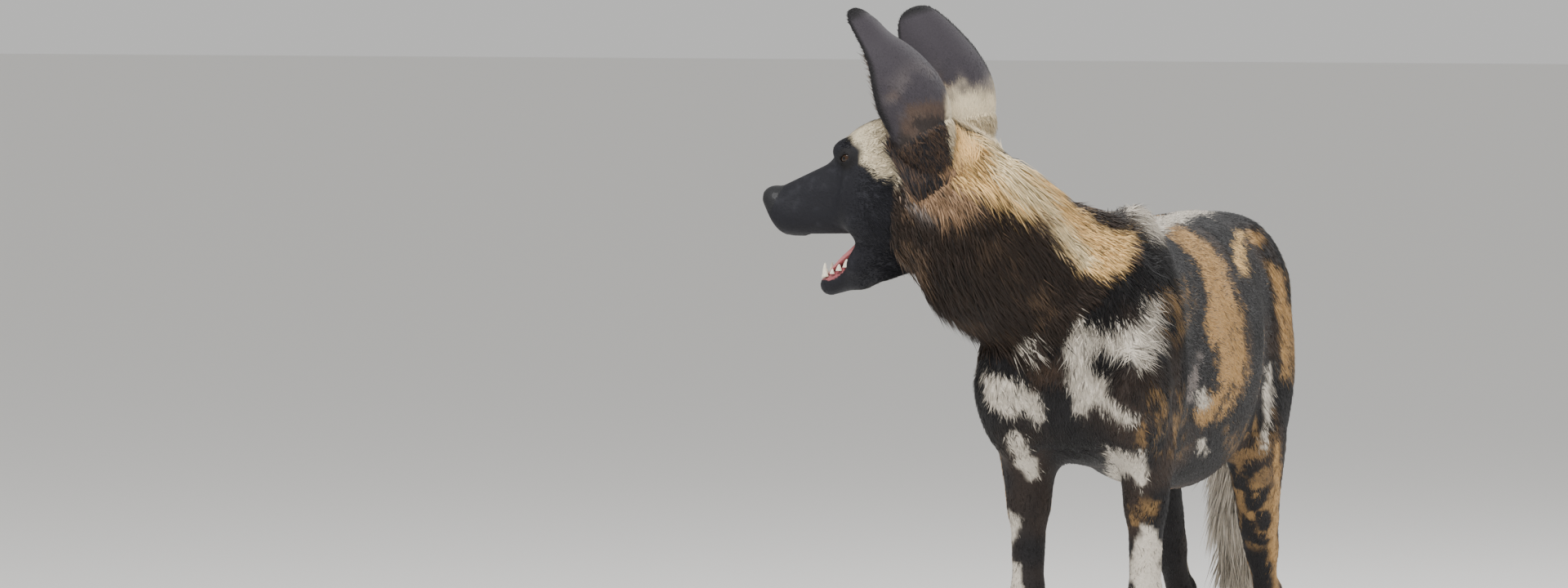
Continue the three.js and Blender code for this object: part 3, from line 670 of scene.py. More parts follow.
# Markings that the photograph shows, as outlines in its pixels: parts, colour, softness, outline
BODY = ("torso", "front_left_upper", "front_right_upper", "front_left_lower", "front_right_lower", "neck")
HAUNCH = ("hind_left_upper", "hind_left_lower", "torso")
markings = [
    (("head", "neck"), CREAM, 5, [
        (1042, 166), (1053, 153), (1079, 139), (1092, 143), (1098, 170), (1096, 219), (1087, 223),
        (1070, 214), (1056, 200), (1056, 184), (1048, 174),
    ]),
    (("head", "neck"), GREY, 9, [
        (1099, 196), (1130, 190), (1160, 205), (1158, 240), (1130, 262), (1106, 246),
    ]),
    (("neck",), TAWNY, 8, [(1100, 180), (1165, 170), (1200, 225), (1160, 262), (1108, 240)]),
    (("neck", "torso", "head"), GOLD, 6, [
        (1160, 112), (1215, 105), (1232, 150), (1281, 205), (1330, 255), (1378, 268), (1372, 328),
        (1343, 335), (1312, 324), (1284, 290), (1257, 258), (1228, 240), (1185, 226), (1156, 212),
    ]),
    (("neck", "torso"), PALE_GOLD, 6, [
        (1180, 120), (1205, 118), (1216, 150), (1222, 185), (1262, 232), (1300, 280), (1335, 318),
        (1312, 318), (1280, 284), (1240, 240), (1200, 205), (1184, 165),
    ]),
    (("neck", "torso"), DARK_BROWN, 5, [
        (1228, 140), (1281, 190), (1340, 238), (1380, 244), (1378, 282), (1334, 273), (1294, 245),
        (1258, 208),
    ]),
    (("neck",), WHITE, 3, [(1237, 392), (1250, 387), (1260, 400), (1256, 424), (1244, 420), (1235, 408)]),
    (BODY, WHITE, 4, [
        (1301, 400), (1320, 383), (1357, 392), (1391, 383), (1394, 359), (1405, 352), (1415, 358),
        (1408, 392), (1419, 418), (1405, 426), (1396, 452), (1386, 440), (1343, 421), (1332, 428),
        (1334, 449), (1355, 457), (1355, 484), (1372, 494), (1391, 511), (1380, 519), (1339, 493),
        (1326, 507), (1314, 502), (1308, 455),
    ]),
    (BODY, WHITE, 4, [
        (1200, 446), (1219, 452), (1250, 462), (1270, 473), (1280, 512), (1268, 514), (1253, 504),
        (1236, 511), (1222, 504), (1210, 486),
    ]),
    (BODY, BROWN, 14, [(1258, 436), (1300, 432), (1302, 462), (1270, 468)]),
    (BODY, WHITE, 3, [
        (1232, 528), (1244, 524), (1258, 548), (1272, 584), (1262, 588), (1246, 566), (1234, 548),
    ]),
    (BODY, WHITE, 3, [(1233, 624), (1246, 628), (1250, 652), (1240, 661), (1233, 644)]),
    (BODY, WHITE, 3, [(1222, 690), (1250, 692), (1253, 726), (1222, 726)]),
    (BODY, WHITE, 3, [
        (1357, 546), (1377, 555), (1398, 551), (1406, 586), (1394, 594), (1381, 577), (1363, 591),
        (1353, 579),
    ]),
    (BODY, WHITE, 3, [
        (1400, 645), (1420, 655), (1424, 690), (1422, 730), (1390, 730), (1384, 692), (1389, 668),
    ]),
    (BODY, WHITE, 4, [
        (1377, 254), (1400, 246), (1440, 245), (1480, 248), (1482, 262), (1440, 272), (1420, 290),
        (1398, 284), (1380, 274),
    ]),
    (("torso", "hind_left_upper"), OCHRE, 4, [
        (1424, 276), (1453, 280), (1486, 306), (1504, 336), (1518, 376), (1526, 428), (1528, 452),
        (1516, 484), (1500, 508), (1470, 522), (1460, 508), (1488, 478), (1490, 442), (1472, 396),
        (1478, 360), (1468, 330), (1446, 302),
    ]),
    (("torso",), WHITE, 3, [(1463, 480), (1476, 476), (1482, 490), (1470, 500)]),
    (("torso",), GREY, 3, [(1452, 488), (1458, 458), (1468, 430), (1472, 434), (1466, 462), (1458, 490)]),
    (("torso",), WHITE, 3, [(1463, 540), (1474, 538), (1478, 552), (1468, 559)]),
    (HAUNCH, GOLD, 4, [(1508, 286), (1518, 284), (1526, 330), (1520, 340), (1512, 318)]),
    (HAUNCH, OCHRE, 4, [(1524, 282), (1540, 282), (1542, 296), (1528, 298)]),
    (HAUNCH, OCHRE, 5, [
        (1553, 318), (1566, 330), (1580, 384), (1582, 460), (1570, 460), (1568, 392), (1556, 346),
    ]),
    (HAUNCH, OCHRE, 4, [(1558, 540), (1568, 540), (1568, 640), (1566, 730), (1558, 730)]),
    (HAUNCH, WHITE, 3, [(1553, 446), (1560, 445), (1555, 500), (1548, 552), (1541, 552), (1547, 500)]),
]

# Speckled places, where ochre hairs break through black ones: parts, share, outline
speckles = [
    (BODY, 0.5, [(1404, 340), (1456, 340), (1460, 400), (1412, 400)]),
    (BODY, 0.45, [(1404, 470), (1450, 470), (1446, 562), (1390, 540)]),
    (BODY, 0.5, [(1370, 612), (1416, 612), (1412, 646), (1372, 646)]),
    (HAUNCH, 0.6, [(1506, 592), (1566, 592), (1568, 668), (1510, 668)]),
    (HAUNCH, 0.4, [(1500, 520), (1560, 500), (1566, 590), (1506, 590)]),
]


def outline_depth(pixels, outline):
    """How deep pixels lie inside an outline, negative outside."""
    corners = np.array(outline, float)
    nearest = np.full(len(pixels), 1e6)
    inside = np.zeros(len(pixels), bool)
    for a, b in zip(corners, np.roll(corners, -1, 0)):
        nearest = np.minimum(nearest, np.linalg.norm(from_line(pixels, a, b)[1], axis=1))
        with np.errstate(divide="ignore", invalid="ignore"):
            cut = (pixels[:, 1] - a[1]) / (b[1] - a[1]) * (b[0] - a[0]) + a[0]
        crossed = ((a[1] > pixels[:, 1]) != (b[1] > pixels[:, 1])) & (pixels[:, 0] < cut)
        inside ^= crossed
    return np.where(inside, nearest, -nearest)


def paint(colour, mix, share):
    return colour + (np.array(mix) - colour) * share[:, None]


def coat_colour(points, normals, label, ragged=0.0):
    """Colour of the coat at points of the dog's frame. Ragged moves each point a little."""
    p = points + rng.normal(0, 1, points.shape) * ragged if ragged else points
    z = p[:, 2]
    legs = is_in(label, UPPER_LEGS + LOWER_LEGS + PAWS)
    neck = label == LABEL["neck"]
    tail = label == LABEL["tail"]
    on_head = is_in(label, HEAD_PARTS)
    colour = np.tile(BLACK, (len(p), 1))
    colour = paint(colour, BROWN, step_up(clouds(p, 60, 3.1), -0.05, 0.35) * 0.5)
    colour[neck] = DARK_BROWN
    colour = paint(colour, TAWNY, np.where(neck, step_up(clouds(p, 26, 5.5), 0.02, 0.3) * 0.32, 0))
    colour[on_head] = MASK
    # Lighter bluish patches over the mask: partly the fur's own mottling, partly painted sheen highlights
    colour = paint(colour, MASK_MOTTLE_AND_SHEEN, step_up(clouds(p, 9, 4.1), 0.05, 0.4) * on_head)
    colour = paint(colour, BROWN, step_up(p[:, 0] - NOSE_X, 168, 200) * on_head * 0.8)
    # The far side of the head takes the near side's marks
    q = p.copy()
    far = on_head & (q[:, 1] > HEAD_Y)
    q[far, 1] = 2 * HEAD_Y - q[far, 1]
    seen = (normals @ -view_forward > 0.05) | on_head
    # Blotches where the photograph doesn't show the body
    hidden = ~seen & ~neck
    warm = step_up(clouds(p, 150, 1.7), 0.10, 0.14)
    pale = step_up(clouds(p, 130, 4.4), 0.14, 0.17)
    colour = paint(colour, OCHRE, warm * hidden * np.where(z > 120, 0.9, 0.4))
    colour = paint(colour, WHITE, pale * hidden)
    colour = paint(colour, OCHRE, step_up(clouds(p, 55, 7.7), 0.1, 0.16) * (legs & (z < 215)) * 0.8)
    colour = paint(colour, WHITE, step_up(clouds(p, 75, 2.2), 0.1, 0.14) * (legs & (z < 225)))
    wobble = np.stack([clouds(q, 16, 1.3), clouds(q, 16, 6.1)], -1) * 16
    pixels = to_pixels(q) + wobble

    def depth_in(parts, outline):
        near = seen & is_in(label, parts)
        depth = np.full(len(p), -99.0)
        depth[near] = outline_depth(pixels[near], outline)
        return depth

    grain = step_up(clouds(q, 13, 8.2), -0.02, 0.12)
    for parts, share, outline in speckles:
        colour = paint(colour, OCHRE, step_up(depth_in(parts, outline), -8, 8) * grain * share)
    for parts, tint, soft, outline in markings:
        colour = paint(colour, tint, step_up(depth_in(parts, outline), -soft, soft))
    # Dark spots break the lower end of the flank's ochre band
    band = seen & (label == LABEL["torso"]) & (pixels[:, 1] > 400) & (pixels[:, 0] > 1455)
    colour = paint(colour, BLACK, step_up(clouds(q, 17, 3.9), 0.1, 0.2) * band * 0.85)
    # Eye surround and crown stripe
    round_eye = np.linalg.norm((q - eye_centre(1)) * (1, 0.5, 1), axis=1)
    colour = paint(colour, BLACK, step_up(17 - round_eye, 0, 6) * on_head)
    crown = step_up(9 - np.abs(q[:, 1] - HEAD_Y), -3, 3) * step_up(q[:, 0] - NOSE_X, 95, 115) * on_head
    colour = paint(colour, BLACK, crown * 0.85)
    # The tail: ochre above, black in the middle and a white tip
    colour[tail] = BLACK
    height = z + clouds(p, 20, 2.5) * 40
    colour = paint(colour, OCHRE, tail * step_up(height, 560, 600))
    colour = paint(colour, WHITE, tail * step_up(430 - height, 0, 14))
    return np.clip(colour, 0.004, 1)


# Mesh helpers
def link(name, data):
    """A new object of the scene."""
    thing = bpy.data.objects.new(name, data)
    bpy.context.scene.collection.objects.link(thing)
    return thing


def make_mesh(name, points, blocks, colours=None):
    """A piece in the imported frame, from points in the dog's frame. Each block holds faces of one size."""
    mesh = bpy.data.meshes.new(name)
    corners = np.concatenate([np.ravel(block) for block in blocks]).astype(np.int32)
    sizes = np.concatenate([np.full(len(block), np.shape(block)[1], np.int32) for block in blocks])
    mesh.vertices.add(len(points))
    mesh.vertices.foreach_set("co", to_packed(points).astype(np.float32).ravel())
    mesh.loops.add(len(corners))
    mesh.loops.foreach_set("vertex_index", corners)
    mesh.polygons.add(len(sizes))
    mesh.polygons.foreach_set("loop_start", (np.cumsum(sizes) - sizes).astype(np.int32))
    mesh.polygons.foreach_set("loop_total", sizes)
    mesh.update(calc_edges=True)
    mesh.validate()
    if colours is not None:
        layer = mesh.color_attributes.new("Coat", "FLOAT_COLOR", "POINT")
        rgba = np.ones((len(points), 4), np.float32)
        rgba[:, :3] = colours
        layer.data.foreach_set("color", rgba.ravel())
    return link(name, mesh)


def dress(piece, slot, *materials, rounded=True):
    """Gives a piece its materials and its body. The slot is not used."""
    for material in materials:
        piece.data.materials.append(material)
    if rounded:
        piece.data.polygons.foreach_set("use_smooth", np.ones(len(piece.data.polygons), bool))
    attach(piece, "root")


def tube_faces(rows, columns, turn=1):
    """Faces of a closed tube: rings of points, then the point of its start and the point of its end."""
    ids = np.arange(rows * columns).reshape(rows, columns)
    near, far = ids[:-1], ids[1:]
    walls = np.stack([near, far, np.roll(far, -1, 1), np.roll(near, -1, 1)], -1).reshape(-1, 4)
    start, end = np.full(columns, rows * columns), np.full(columns, rows * columns + 1)
    caps = np.concatenate([
        np.stack([start, ids[0], np.roll(ids[0], -1)], -1),
        np.stack([end, np.roll(ids[-1], -1), ids[-1]], -1),
    ])
    if turn < 0:
        walls, caps = (np.roll(block[:, ::-1], 1, 1) for block in (walls, caps))
    return [walls, caps]


def new_material(name, roughness, coat=0.0):
    """A material, with its nodes, links and shader."""
    material = bpy.data.materials.new(name)
    material.use_nodes = True
    nodes, links = material.node_tree.nodes, material.node_tree.links
    shader = nodes["Principled BSDF"]
    shader.inputs["Roughness"].default_value = roughness
    shader.inputs["Coat Weight"].default_value = coat
    return material, nodes, links, shader


def add_noise(nodes, links, scale, detail):
    texture = nodes.new("ShaderNodeTexNoise")
    texture.inputs["Scale"].default_value = scale
    texture.inputs["Detail"].default_value = detail
    place = nodes.new("ShaderNodeTexCoord")
    links.new(place.outputs["Object"], texture.inputs["Vector"])
    return texture


def add_bump(nodes, links, texture, shader, strength):
    relief = nodes.new("ShaderNodeBump")
    relief.inputs["Strength"].default_value = strength
    relief.inputs["Distance"].default_value = 0.001
    links.new(texture.outputs["Fac"], relief.inputs["Height"])
    links.new(relief.outputs["Normal"], shader.inputs["Normal"])


def coloured_material(name, roughness, grain, scale, bump=0.0, sheen=0.0, coat=0.0):
    """A material that takes its colour from the mesh, with a fine grain and bump of its own."""
    material, nodes, links, shader = new_material(name, roughness, coat)
    shader.inputs["Sheen Weight"].default_value = sheen
    shader.inputs["Sheen Roughness"].default_value = 0.5
    shader.inputs["Specular IOR Level"].default_value = 0.25
    colour = nodes.new("ShaderNodeAttribute")
    colour.attribute_name = "Coat"
    texture = add_noise(nodes, links, scale, 3.0)
    spread = nodes.new("ShaderNodeMapRange")
    spread.inputs["To Min"].default_value = 1 - grain
    spread.inputs["To Max"].default_value = 1 + grain
    vary = nodes.new("ShaderNodeVectorMath")
    vary.operation = "SCALE"
    links.new(texture.outputs["Fac"], spread.inputs["Value"])
    links.new(colour.outputs["Color"], vary.inputs[0])
    links.new(spread.outputs["Result"], vary.inputs["Scale"])
    links.new(vary.outputs["Vector"], shader.inputs["Base Color"])
    if bump > 0:
        add_bump(nodes, links, texture, shader, bump)
    return material


skin_material = coloured_material("skin_fur", 0.7, 0.35, 420, bump=0.8)
nose_material = coloured_material("nose_leather", 0.48, 0.15, 900, bump=0.8, coat=0.08)
mouth_material = coloured_material("mouth_lining", 0.32, 0.2, 500, bump=0.3, coat=0.4)
fur_material = coloured_material("fur_tufts", 0.6, 0.15, 250, sheen=0.02)
ear_material = coloured_material("ear_skin", 0.72, 0.2, 500, bump=0.5, sheen=0.04)
eye_material = coloured_material("eye_glass", 0.1, 0.25, 900, coat=0.15)
tooth_material = coloured_material("teeth", 0.25, 0.1, 400, coat=0.3)
claw_material = coloured_material("claws", 0.4, 0.3, 600)


# The skin
def vertex_normals(points, quads):
    a, b, c, d = (points[quads[:, i]] for i in range(4))
    face = unit(np.cross(c - a, d - b))
    total = np.zeros_like(points)
    for i in range(4):
        np.add.at(total, quads[:, i], face)
    return unit(total)


RELAX_ROUNDS = 3
RELAX_SHARES = (0.5, -0.52)


def relax(points, quads):
    """Evens out the net's steps without shrinking it much."""
    edges = np.concatenate([quads[:, [i, (i + 1) % 4]] for i in range(4)])
    edges = np.concatenate([edges, edges[:, ::-1]])
    here, there = edges.T
    count = np.maximum(np.bincount(here, minlength=len(points)), 1)[:, None]
    for share in RELAX_SHARES * RELAX_ROUNDS:
        total = np.stack([np.bincount(here, points[there, a], len(points)) for a in range(3)], -1)
        points = points + share * (total / count - points)
    return points


PALATE_HALF = 12.0
TONGUE_BED_HALF = 26
points, quads = surface_net(skin_grid())
label = nearest_group(points)
points = relax(points, quads)
points[:, 2] = np.maximum(points[:, 2], 0.0)
normals = vertex_normals(points, quads)

skin_colour = coat_colour(points, normals, label)
back, height = points[:, 0] - NOSE_X, points[:, 2]
upper = label == LABEL["head"]
on_nose = upper & (back < 15 + (height - 712) * 0.45) & (height > 708)
in_mouth = (
    is_in(label, HEAD_PARTS)
    & (back > 70) & (back < 150) & (height > 628) & (height < 684)
    & (np.abs(points[:, 1] - HEAD_Y) < np.where(upper, PALATE_HALF, TONGUE_BED_HALF))
    & (normals[:, 2] * np.where(upper, -1, 1) > 0.35)
)
skin_colour[on_nose] = NOSE_BLACK
skin_colour[in_mouth] = PINK
skin = make_mesh("skin", points, [quads], skin_colour * 0.8)
slot_of = np.zeros(len(quads), np.int32)
slot_of[on_nose[quads].all(1)] = 1
slot_of[in_mouth[quads].all(1)] = 2
dress(skin, "coat", skin_material, nose_material, mouth_material)
skin.data.polygons.foreach_set("material_index", slot_of)
flesh = ["torso", "neck", "head", "lower_jaw", "nose", "tail"]
flesh += [
    f"{leg}_{side}_{piece}"
    for leg in ("front", "hind") for side in ("left", "right") for piece in ("upper", "lower", "paw")
]
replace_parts(skin, *flesh)

# Ears: a rounded cup that opens from a rolled base and leans. Each row gives the share of the
# ear's height, half the width along the curl, half the angle it curls through, and the lean.
EARS = {
    "ear_left": (head(220, 50, 775), head(122, 60, 943), (-0.9, 0.42, 0.12), np.array([
        [0, 60, 125, 2],
        [0.12, 67, 118, 13],
        [0.3, 73, 100, 24],
        [0.45, 71, 84, 25],
        [0.58, 58, 72, 22],
        [0.68, 43, 60, 17],
        [0.78, 29, 52, 9],
        [0.9, 21, 48, 4],
        [0.97, 13, 46, 1],
        [1, 5, 44, 0],
    ], float)),
    "ear_right": (head(218, -50, 784), head(160, -68, 944), (-0.42, 0.9, 0.1), np.array([
        [0, 58, 122, 6],
        [0.15, 66, 110, 17],
        [0.35, 67, 92, 22],
        [0.55, 58, 72, 17],
        [0.72, 47, 60, 9],
        [0.85, 35, 52, 3],
        [0.94, 24, 48, 0],
        [0.98, 15, 46, 0],
        [1, 6, 44, 0],
    ], float)),
}
EAR_SKIN = 1.1
EAR_TUCK = 0.16


def ear_frame(name):
    base, tip, facing, rows = EARS[name]
    base = np.array(base, float)
    axis = tip - base
    height = np.linalg.norm(axis)
    axis /= height
    facing = np.array(facing, float)
    face = direction(facing - axis * (facing @ axis))
    return base, axis, height, face, rows


def ear_point(name, u, v, deep):
    """A point of the ear: u runs across from -1 to 1, v from base to tip, deep out of its back."""
    base, axis, height, face, rows = ear_frame(name)
    across = np.cross(axis, face)
    half = along(rows, v, 1) * (0.74 + 0.26 * step_up(v, 0, EAR_TUCK))
    roll = np.radians(along(rows, v, 2))
    radius = half / roll
    a = u * roll
    fold = 3.0 * np.exp(-((v - 0.22) / 0.08) ** 2) * np.exp(-((np.abs(u) - 0.8) / 0.2) ** 2)
    out = (
        base
        + axis * (height * v)[..., None]
        + across * ((radius + deep) * np.sin(a))[..., None]
        + face * (radius * 0.6 - (radius + deep + fold) * np.cos(a))[..., None]
    )
    out[..., 0] += along(rows, v, 3)
    return out


EAR_COLUMNS = 44
EAR_LINES = 60


def build_ear(name):
    u = np.linspace(-1, 1, EAR_COLUMNS)
    v = 1 - (1 - np.linspace(0.0, 1, EAR_LINES)) ** 1.3
    uu, vv = np.meshgrid(u, v)
    edge = np.minimum((1 - np.abs(uu)) * 6, 1) * np.minimum((1 - vv) * 14 + 0.15, 1)
    thick = EAR_SKIN * (0.35 + 0.65 * edge)
    inner = ear_point(name, uu, vv, -thick)
    rings = np.concatenate([ear_point(name, uu, vv, thick), inner[:, ::-1]], 1)
    ids = np.arange(EAR_LINES * 2 * EAR_COLUMNS).reshape(EAR_LINES, 2 * EAR_COLUMNS)
    a, b = ids[:-1], ids[1:]
    walls = np.stack([a, np.roll(a, -1, 1), np.roll(b, -1, 1), b], -1).reshape(-1, 4)
    front, back = ids[:, :EAR_COLUMNS], ids[:, :EAR_COLUMNS - 1:-1]
    caps = np.stack([front[:, :-1], front[:, 1:], back[:, 1:], back[:, :-1]], -1)
    where_u = np.concatenate([uu, uu[:, ::-1]], 1).ravel()
    where_v = np.concatenate([vv, vv], 1).ravel()
    is_inner = np.concatenate([np.zeros_like(uu), np.ones_like(uu)], 1).ravel() > 0
    return rings.reshape(-1, 3), [walls, caps[0, :, ::-1], caps[-1]], where_u, where_v, is_inner


def ear_colour(p, u, v, inner):
    """Dark backs with a black rim, grey-brown lower down and cream behind the base."""
    pixels = to_pixels(p)
    colour = np.tile(EAR_GREY, (len(p), 1))
    colour = paint(colour, GREY, step_up(clouds(p, 22, 2.8), -0.1, 0.3) * 0.5 * step_up(0.66 - v, 0, 0.3))
    colour = paint(colour, BROWN, step_up(0.4 - v + clouds(p, 25, 1.1) * 0.5, 0, 0.15) * 0.8)
    colour = paint(colour, BLACK, step_up(0.26 - v + clouds(p, 14, 5.1) * 0.4, 0, 0.1) * 0.75)
    colour = paint(colour, EAR_INSIDE, inner * 0.8)
    rim = np.maximum(step_up(np.abs(u), 0.82, 0.91), step_up(v, 0.91, 0.96))
    colour = paint(colour, BLACK, rim * 0.95 * step_up(v, 0.24, 0.36))
    near = p[:, 1] < HEAD_Y
    across = pixels[:, 0] + clouds(p, 18, 3.3) * 12
    down = pixels[:, 1] + clouds(p, 12, 7.3) * 34
    behind = step_up(across, np.where(near, 1154, 1120), np.where(near, 1164, 1150))
    low = step_up(down, np.where(near, 110, 96), np.where(near, 128, 132))
    return paint(colour, np.array(CREAM) * 0.85, behind * low * (1 - inner * 0.5))


for name in EARS:
    shape, faces, u, v, inner = build_ear(name)
    piece = make_mesh(f"{name}_skin", shape, faces, ear_colour(shape, u, v, inner))
    dress(piece, "ear", ear_material)
    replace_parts(piece, name)

# Tufts: thin solid blades with a three-sided section, set on roots and bent along the lie of the coat
TUFT_PATCH = 0.003
ROOT_DEPTH = 0.8
DOWN = np.array([0, 0, -1.0])


def tufts(name, slot, roots, normals, flow, length, width, lift, colours, uv, joints=1, sag=0.0):
    """One coat piece. Joints is the number of bends along each blade."""
    flow = unit(flow - normals * np.sum(flow * normals, 1)[:, None])
    side = np.cross(flow, normals)
    rings, patch, shade = [], [], []
    for j in range(joints):
        t = j / joints
        rise = lift * (1 - (1 - t) ** 2)
        centre = roots + flow * (length * t)[:, None] + normals * (length * rise - ROOT_DEPTH)[:, None]
        centre = centre + DOWN * (sag * length * t * t)[:, None]
        half = (width * (1 - 0.55 * t) / 2)[:, None]
        rings += [centre + side * half, centre + normals * half * 0.55, centre - side * half]
        patch += [(-0.5, t - 0.5), (0.0, t - 0.4), (0.5, t - 0.5)]
        shade += [0.86 + 0.14 * t] * 3
    tip = roots + flow * length[:, None] + normals * (length * lift - ROOT_DEPTH)[:, None]
    rings.append(tip + DOWN * (sag * length)[:, None])
    patch.append((0.0, 0.5))
    shade.append(1.08)
    each = 3 * joints + 1
    faces = [(0, 2, 1)]
    for j in range(joints - 1):
        a, b = 3 * j, 3 * j + 3
        for i in range(3):
            k = (i + 1) % 3
            faces += [(a + i, a + k, b + k), (a + i, b + k, b + i)]
    last = 3 * (joints - 1)
    faces += [(last + i, last + (i + 1) % 3, each - 1) for i in range(3)]
    faces = (np.arange(len(roots))[:, None, None] * each + np.array(faces)).reshape(-1, 3)
    tint = (colours[:, None, :] * np.array(shade)[None, :, None]).reshape(-1, 3)
    piece = make_mesh(name, np.stack(rings, 1).reshape(-1, 3), [faces], tint)
    spots = (uv[:, None, :] + np.array(patch)[None] * TUFT_PATCH).reshape(-1, 2)
    index = np.empty(len(piece.data.loops), np.int32)
    piece.data.loops.foreach_get("vertex_index", index)
    layer = piece.data.uv_layers.new(name="OFBake")
    layer.data.foreach_set("uv", spots[index].astype(np.float32).ravel())
    dress(piece, slot, fur_material, rounded=False)


# An unwrap of the skin: each part is rolled out round its own line into a cell of the map
PART_LINES = {
    "torso": ((0, -340, 540), (0, 410, 600)),
    "neck": ((10, -196, 592), (-160, -340, 745)),
    "head": (head(0, 0, 715), head(215, 0, 760)),
    "lower_jaw": (head(66, 0, 620), head(175, 0, 670)),
    "tail": ((0, 384, 660), (-8, 451, 200)),
}
CELLS = 5
CELL_EDGE = 0.04
CELL_SPAN = 0.92


def cell_uv(cell, across, up):
    return (np.array([cell % CELLS, cell // CELLS]) + np.stack([across, up], -1)) / CELLS


def unwrap(points, label):
    uv = np.zeros((len(points), 2))
    for name, cell in LABEL.items():
        on = label == cell
        if not on.any():
            continue
        p = points[on]
        middle = p.mean(0)
        upright = [(middle[0], middle[1], height) for height in (p[:, 2].max(), p[:, 2].min())]
        a, b = (np.array(v, float) for v in PART_LINES.get(name, upright))
        t, q = from_line(p, a, b)
        line = direction(b - a)
        side = direction(np.cross(b - a, (0.0, 0.3, 1.0) if abs(line[2]) < 0.7 else (0.0, 1.0, 0.0)))
        up = np.cross(side, line)
        turn = np.arctan2(q @ up, q @ side) / (2 * math.pi) + 0.5
        uv[on] = cell_uv(cell, CELL_EDGE + CELL_SPAN * turn, CELL_EDGE + CELL_SPAN * t)
    return uv


# The lie of the coat
FIXED_LIE = (
    (UPPER_LEGS, (0, 0.45, -1)),
    (LOWER_LEGS, (0, 0.12, -1)),
    (PAWS, (0, -0.8, -0.5)),
    (("head",), (1, 0, 0)),
    (("lower_jaw",), (1, 0, 0.15)),
)


def neck_lie(p):
    """Back along the nearest stretch of the neck, and down."""
    best = np.full(len(p), 1e9)
    flow = np.zeros((len(p), 3))
    for a, b in zip(NECK[:-1], NECK[1:]):
        off = np.linalg.norm(from_line(p, a, b)[1], axis=1)
        closer = off < best
        best[closer] = off[closer]
        flow[closer] = -direction(b - a)
    flow[:, 2] -= 0.35
    return flow


def lie(points, label):
    """The direction in which hair grows at each point."""
    flow = np.tile((0.0, 1.0, -0.45), (len(points), 1))
    x, y, z = points.T
    flow[:, 2] -= 0.5 * ramp(z, 520, 400)
    for parts, way in FIXED_LIE:
        flow[is_in(label, parts)] = way
    flow[(label == LABEL["torso"]) & (y < -250)] = (0, 0.1, -1)
    neck = label == LABEL["neck"]
    flow[neck] = neck_lie(points[neck])
    face = label == LABEL["head"]
    drop = np.clip((760 - z[face]) / 60, -0.4, 0.6)
    flow[face, 2] = -drop * ramp(x[face] - NOSE_X, 60, 140)
    tail = label == LABEL["tail"]
    t = ramp(z[tail], 560, 650)
    flow[tail] = np.stack([0 * t, 0.7 * t, -1 + 0.4 * t], -1)
    sway = np.stack([clouds(points, 38, offset) for offset in (0.4, 3.4, 7.9)], -1)
    return flow + sway * 0.9


# Triangles of the skin, for spreading roots. The nose, the mouth, the eyes and the soles stay bare
EYE_BARE = 14.5
SOLE_BARE = 4
tris = np.concatenate([quads[:, [0, 1, 2]], quads[:, [0, 2, 3]]])
corner = points[tris]
areas = np.linalg.norm(np.cross(corner[:, 1] - corner[:, 0], corner[:, 2] - corner[:, 0]), axis=1) / 2
centres = corner.mean(1)
tri_label = label[tris[:, 0]]
tri_bare = (on_nose | in_mouth)[tris].any(1) | (centres[:, 2] < SOLE_BARE)
for s in (1, -1):
    tri_bare |= np.linalg.norm(centres - eye_centre(s), axis=1) < EYE_BARE


def spread(chosen, count):
    """Random roots over the chosen triangles, with their normals and labels."""
    weight = areas * chosen
    pick = rng.choice(len(tris), count, p=weight / weight.sum())
    r1, r2 = np.sqrt(rng.random(count)), rng.random(count)
    w = np.stack([1 - r1, r1 * (1 - r2), r1 * r2], -1)[:, :, None]
    at = (points[tris[pick]] * w).sum(1)
    n = unit((normals[tris[pick]] * w).sum(1))
    return at, n, label[tris[pick, 0]]


DARK_HAIRS = 0.09
RAGGED = 2.2


def coat(name, chosen, count, length, width, lift, joints=1, spray=0.25, sag=0.0, slot="coat"):
    """Spreads a coat piece. Length is a function of the roots."""
    roots, n, names = spread(chosen & ~tri_bare, count)
    flow = lie(roots, names) + rng.normal(0, spray, roots.shape)
    long = length(roots) * rng.uniform(0.7, 1.2, count)
    wide = width * rng.uniform(0.75, 1.25, count)
    lifts = lift * rng.uniform(0.5, 1.5, count)
    tint = coat_colour(roots, n, names, RAGGED) * rng.uniform(0.78, 1.22, (count, 1))
    dark = (rng.random(count) < DARK_HAIRS) & (long > 5)
    tint[dark] = tint[dark] * 0.3
    tufts(name, slot, roots, n, flow, long, wide, lifts, tint, unwrap(roots, names), joints, sag)


def short_length(p):
    """Short fur: shortest on the feet, longer over the shoulder where the neck's hair runs out."""
    y, z = p[:, 1], p[:, 2]
    long = 8 + 5 * ramp(z, 330, 490)
    long = long + 16 * ramp(y, -150, -220) * ramp(z, 500, 590)
    return np.where(z < 90, 4.5, long)


BROW_REACH = 9.0


def face_length(p):
    """Fine fur, shortest on the muzzle, with a longer brow over each eye."""
    long = 3.0 + 13 * ramp(p[:, 0] - NOSE_X, 100, 190) ** 1.4
    for s in (1, -1):
        brow = np.array(head(EYE_BACK - 5, s * (EYE_SIDE - 3), EYE_Z + 15))
        long = long + 7 * np.exp(-(np.linalg.norm(p - brow, axis=1) / BROW_REACH) ** 2)
    return long


def ruff_length(p):
    """Long hair, short where it leaves the cheeks and where it runs out over the shoulder."""
    x, z = p[:, 0], p[:, 2]
    crest = ramp(z, 680, 760)
    throat = ramp(x, -60, -120) * ramp(z, 690, 630)
    from_head = ramp(x, -168, -98)
    from_body = 0.45 + 0.55 * ramp(x, 14, -46)
    return (14 + (24 + 6 * crest) * np.maximum(from_head, throat) + 12 * throat) * from_body


def tail_length(p):
    return 14 + 52 * ramp(p[:, 2], 560, 380) - 18 * ramp(p[:, 2], 300, 220)


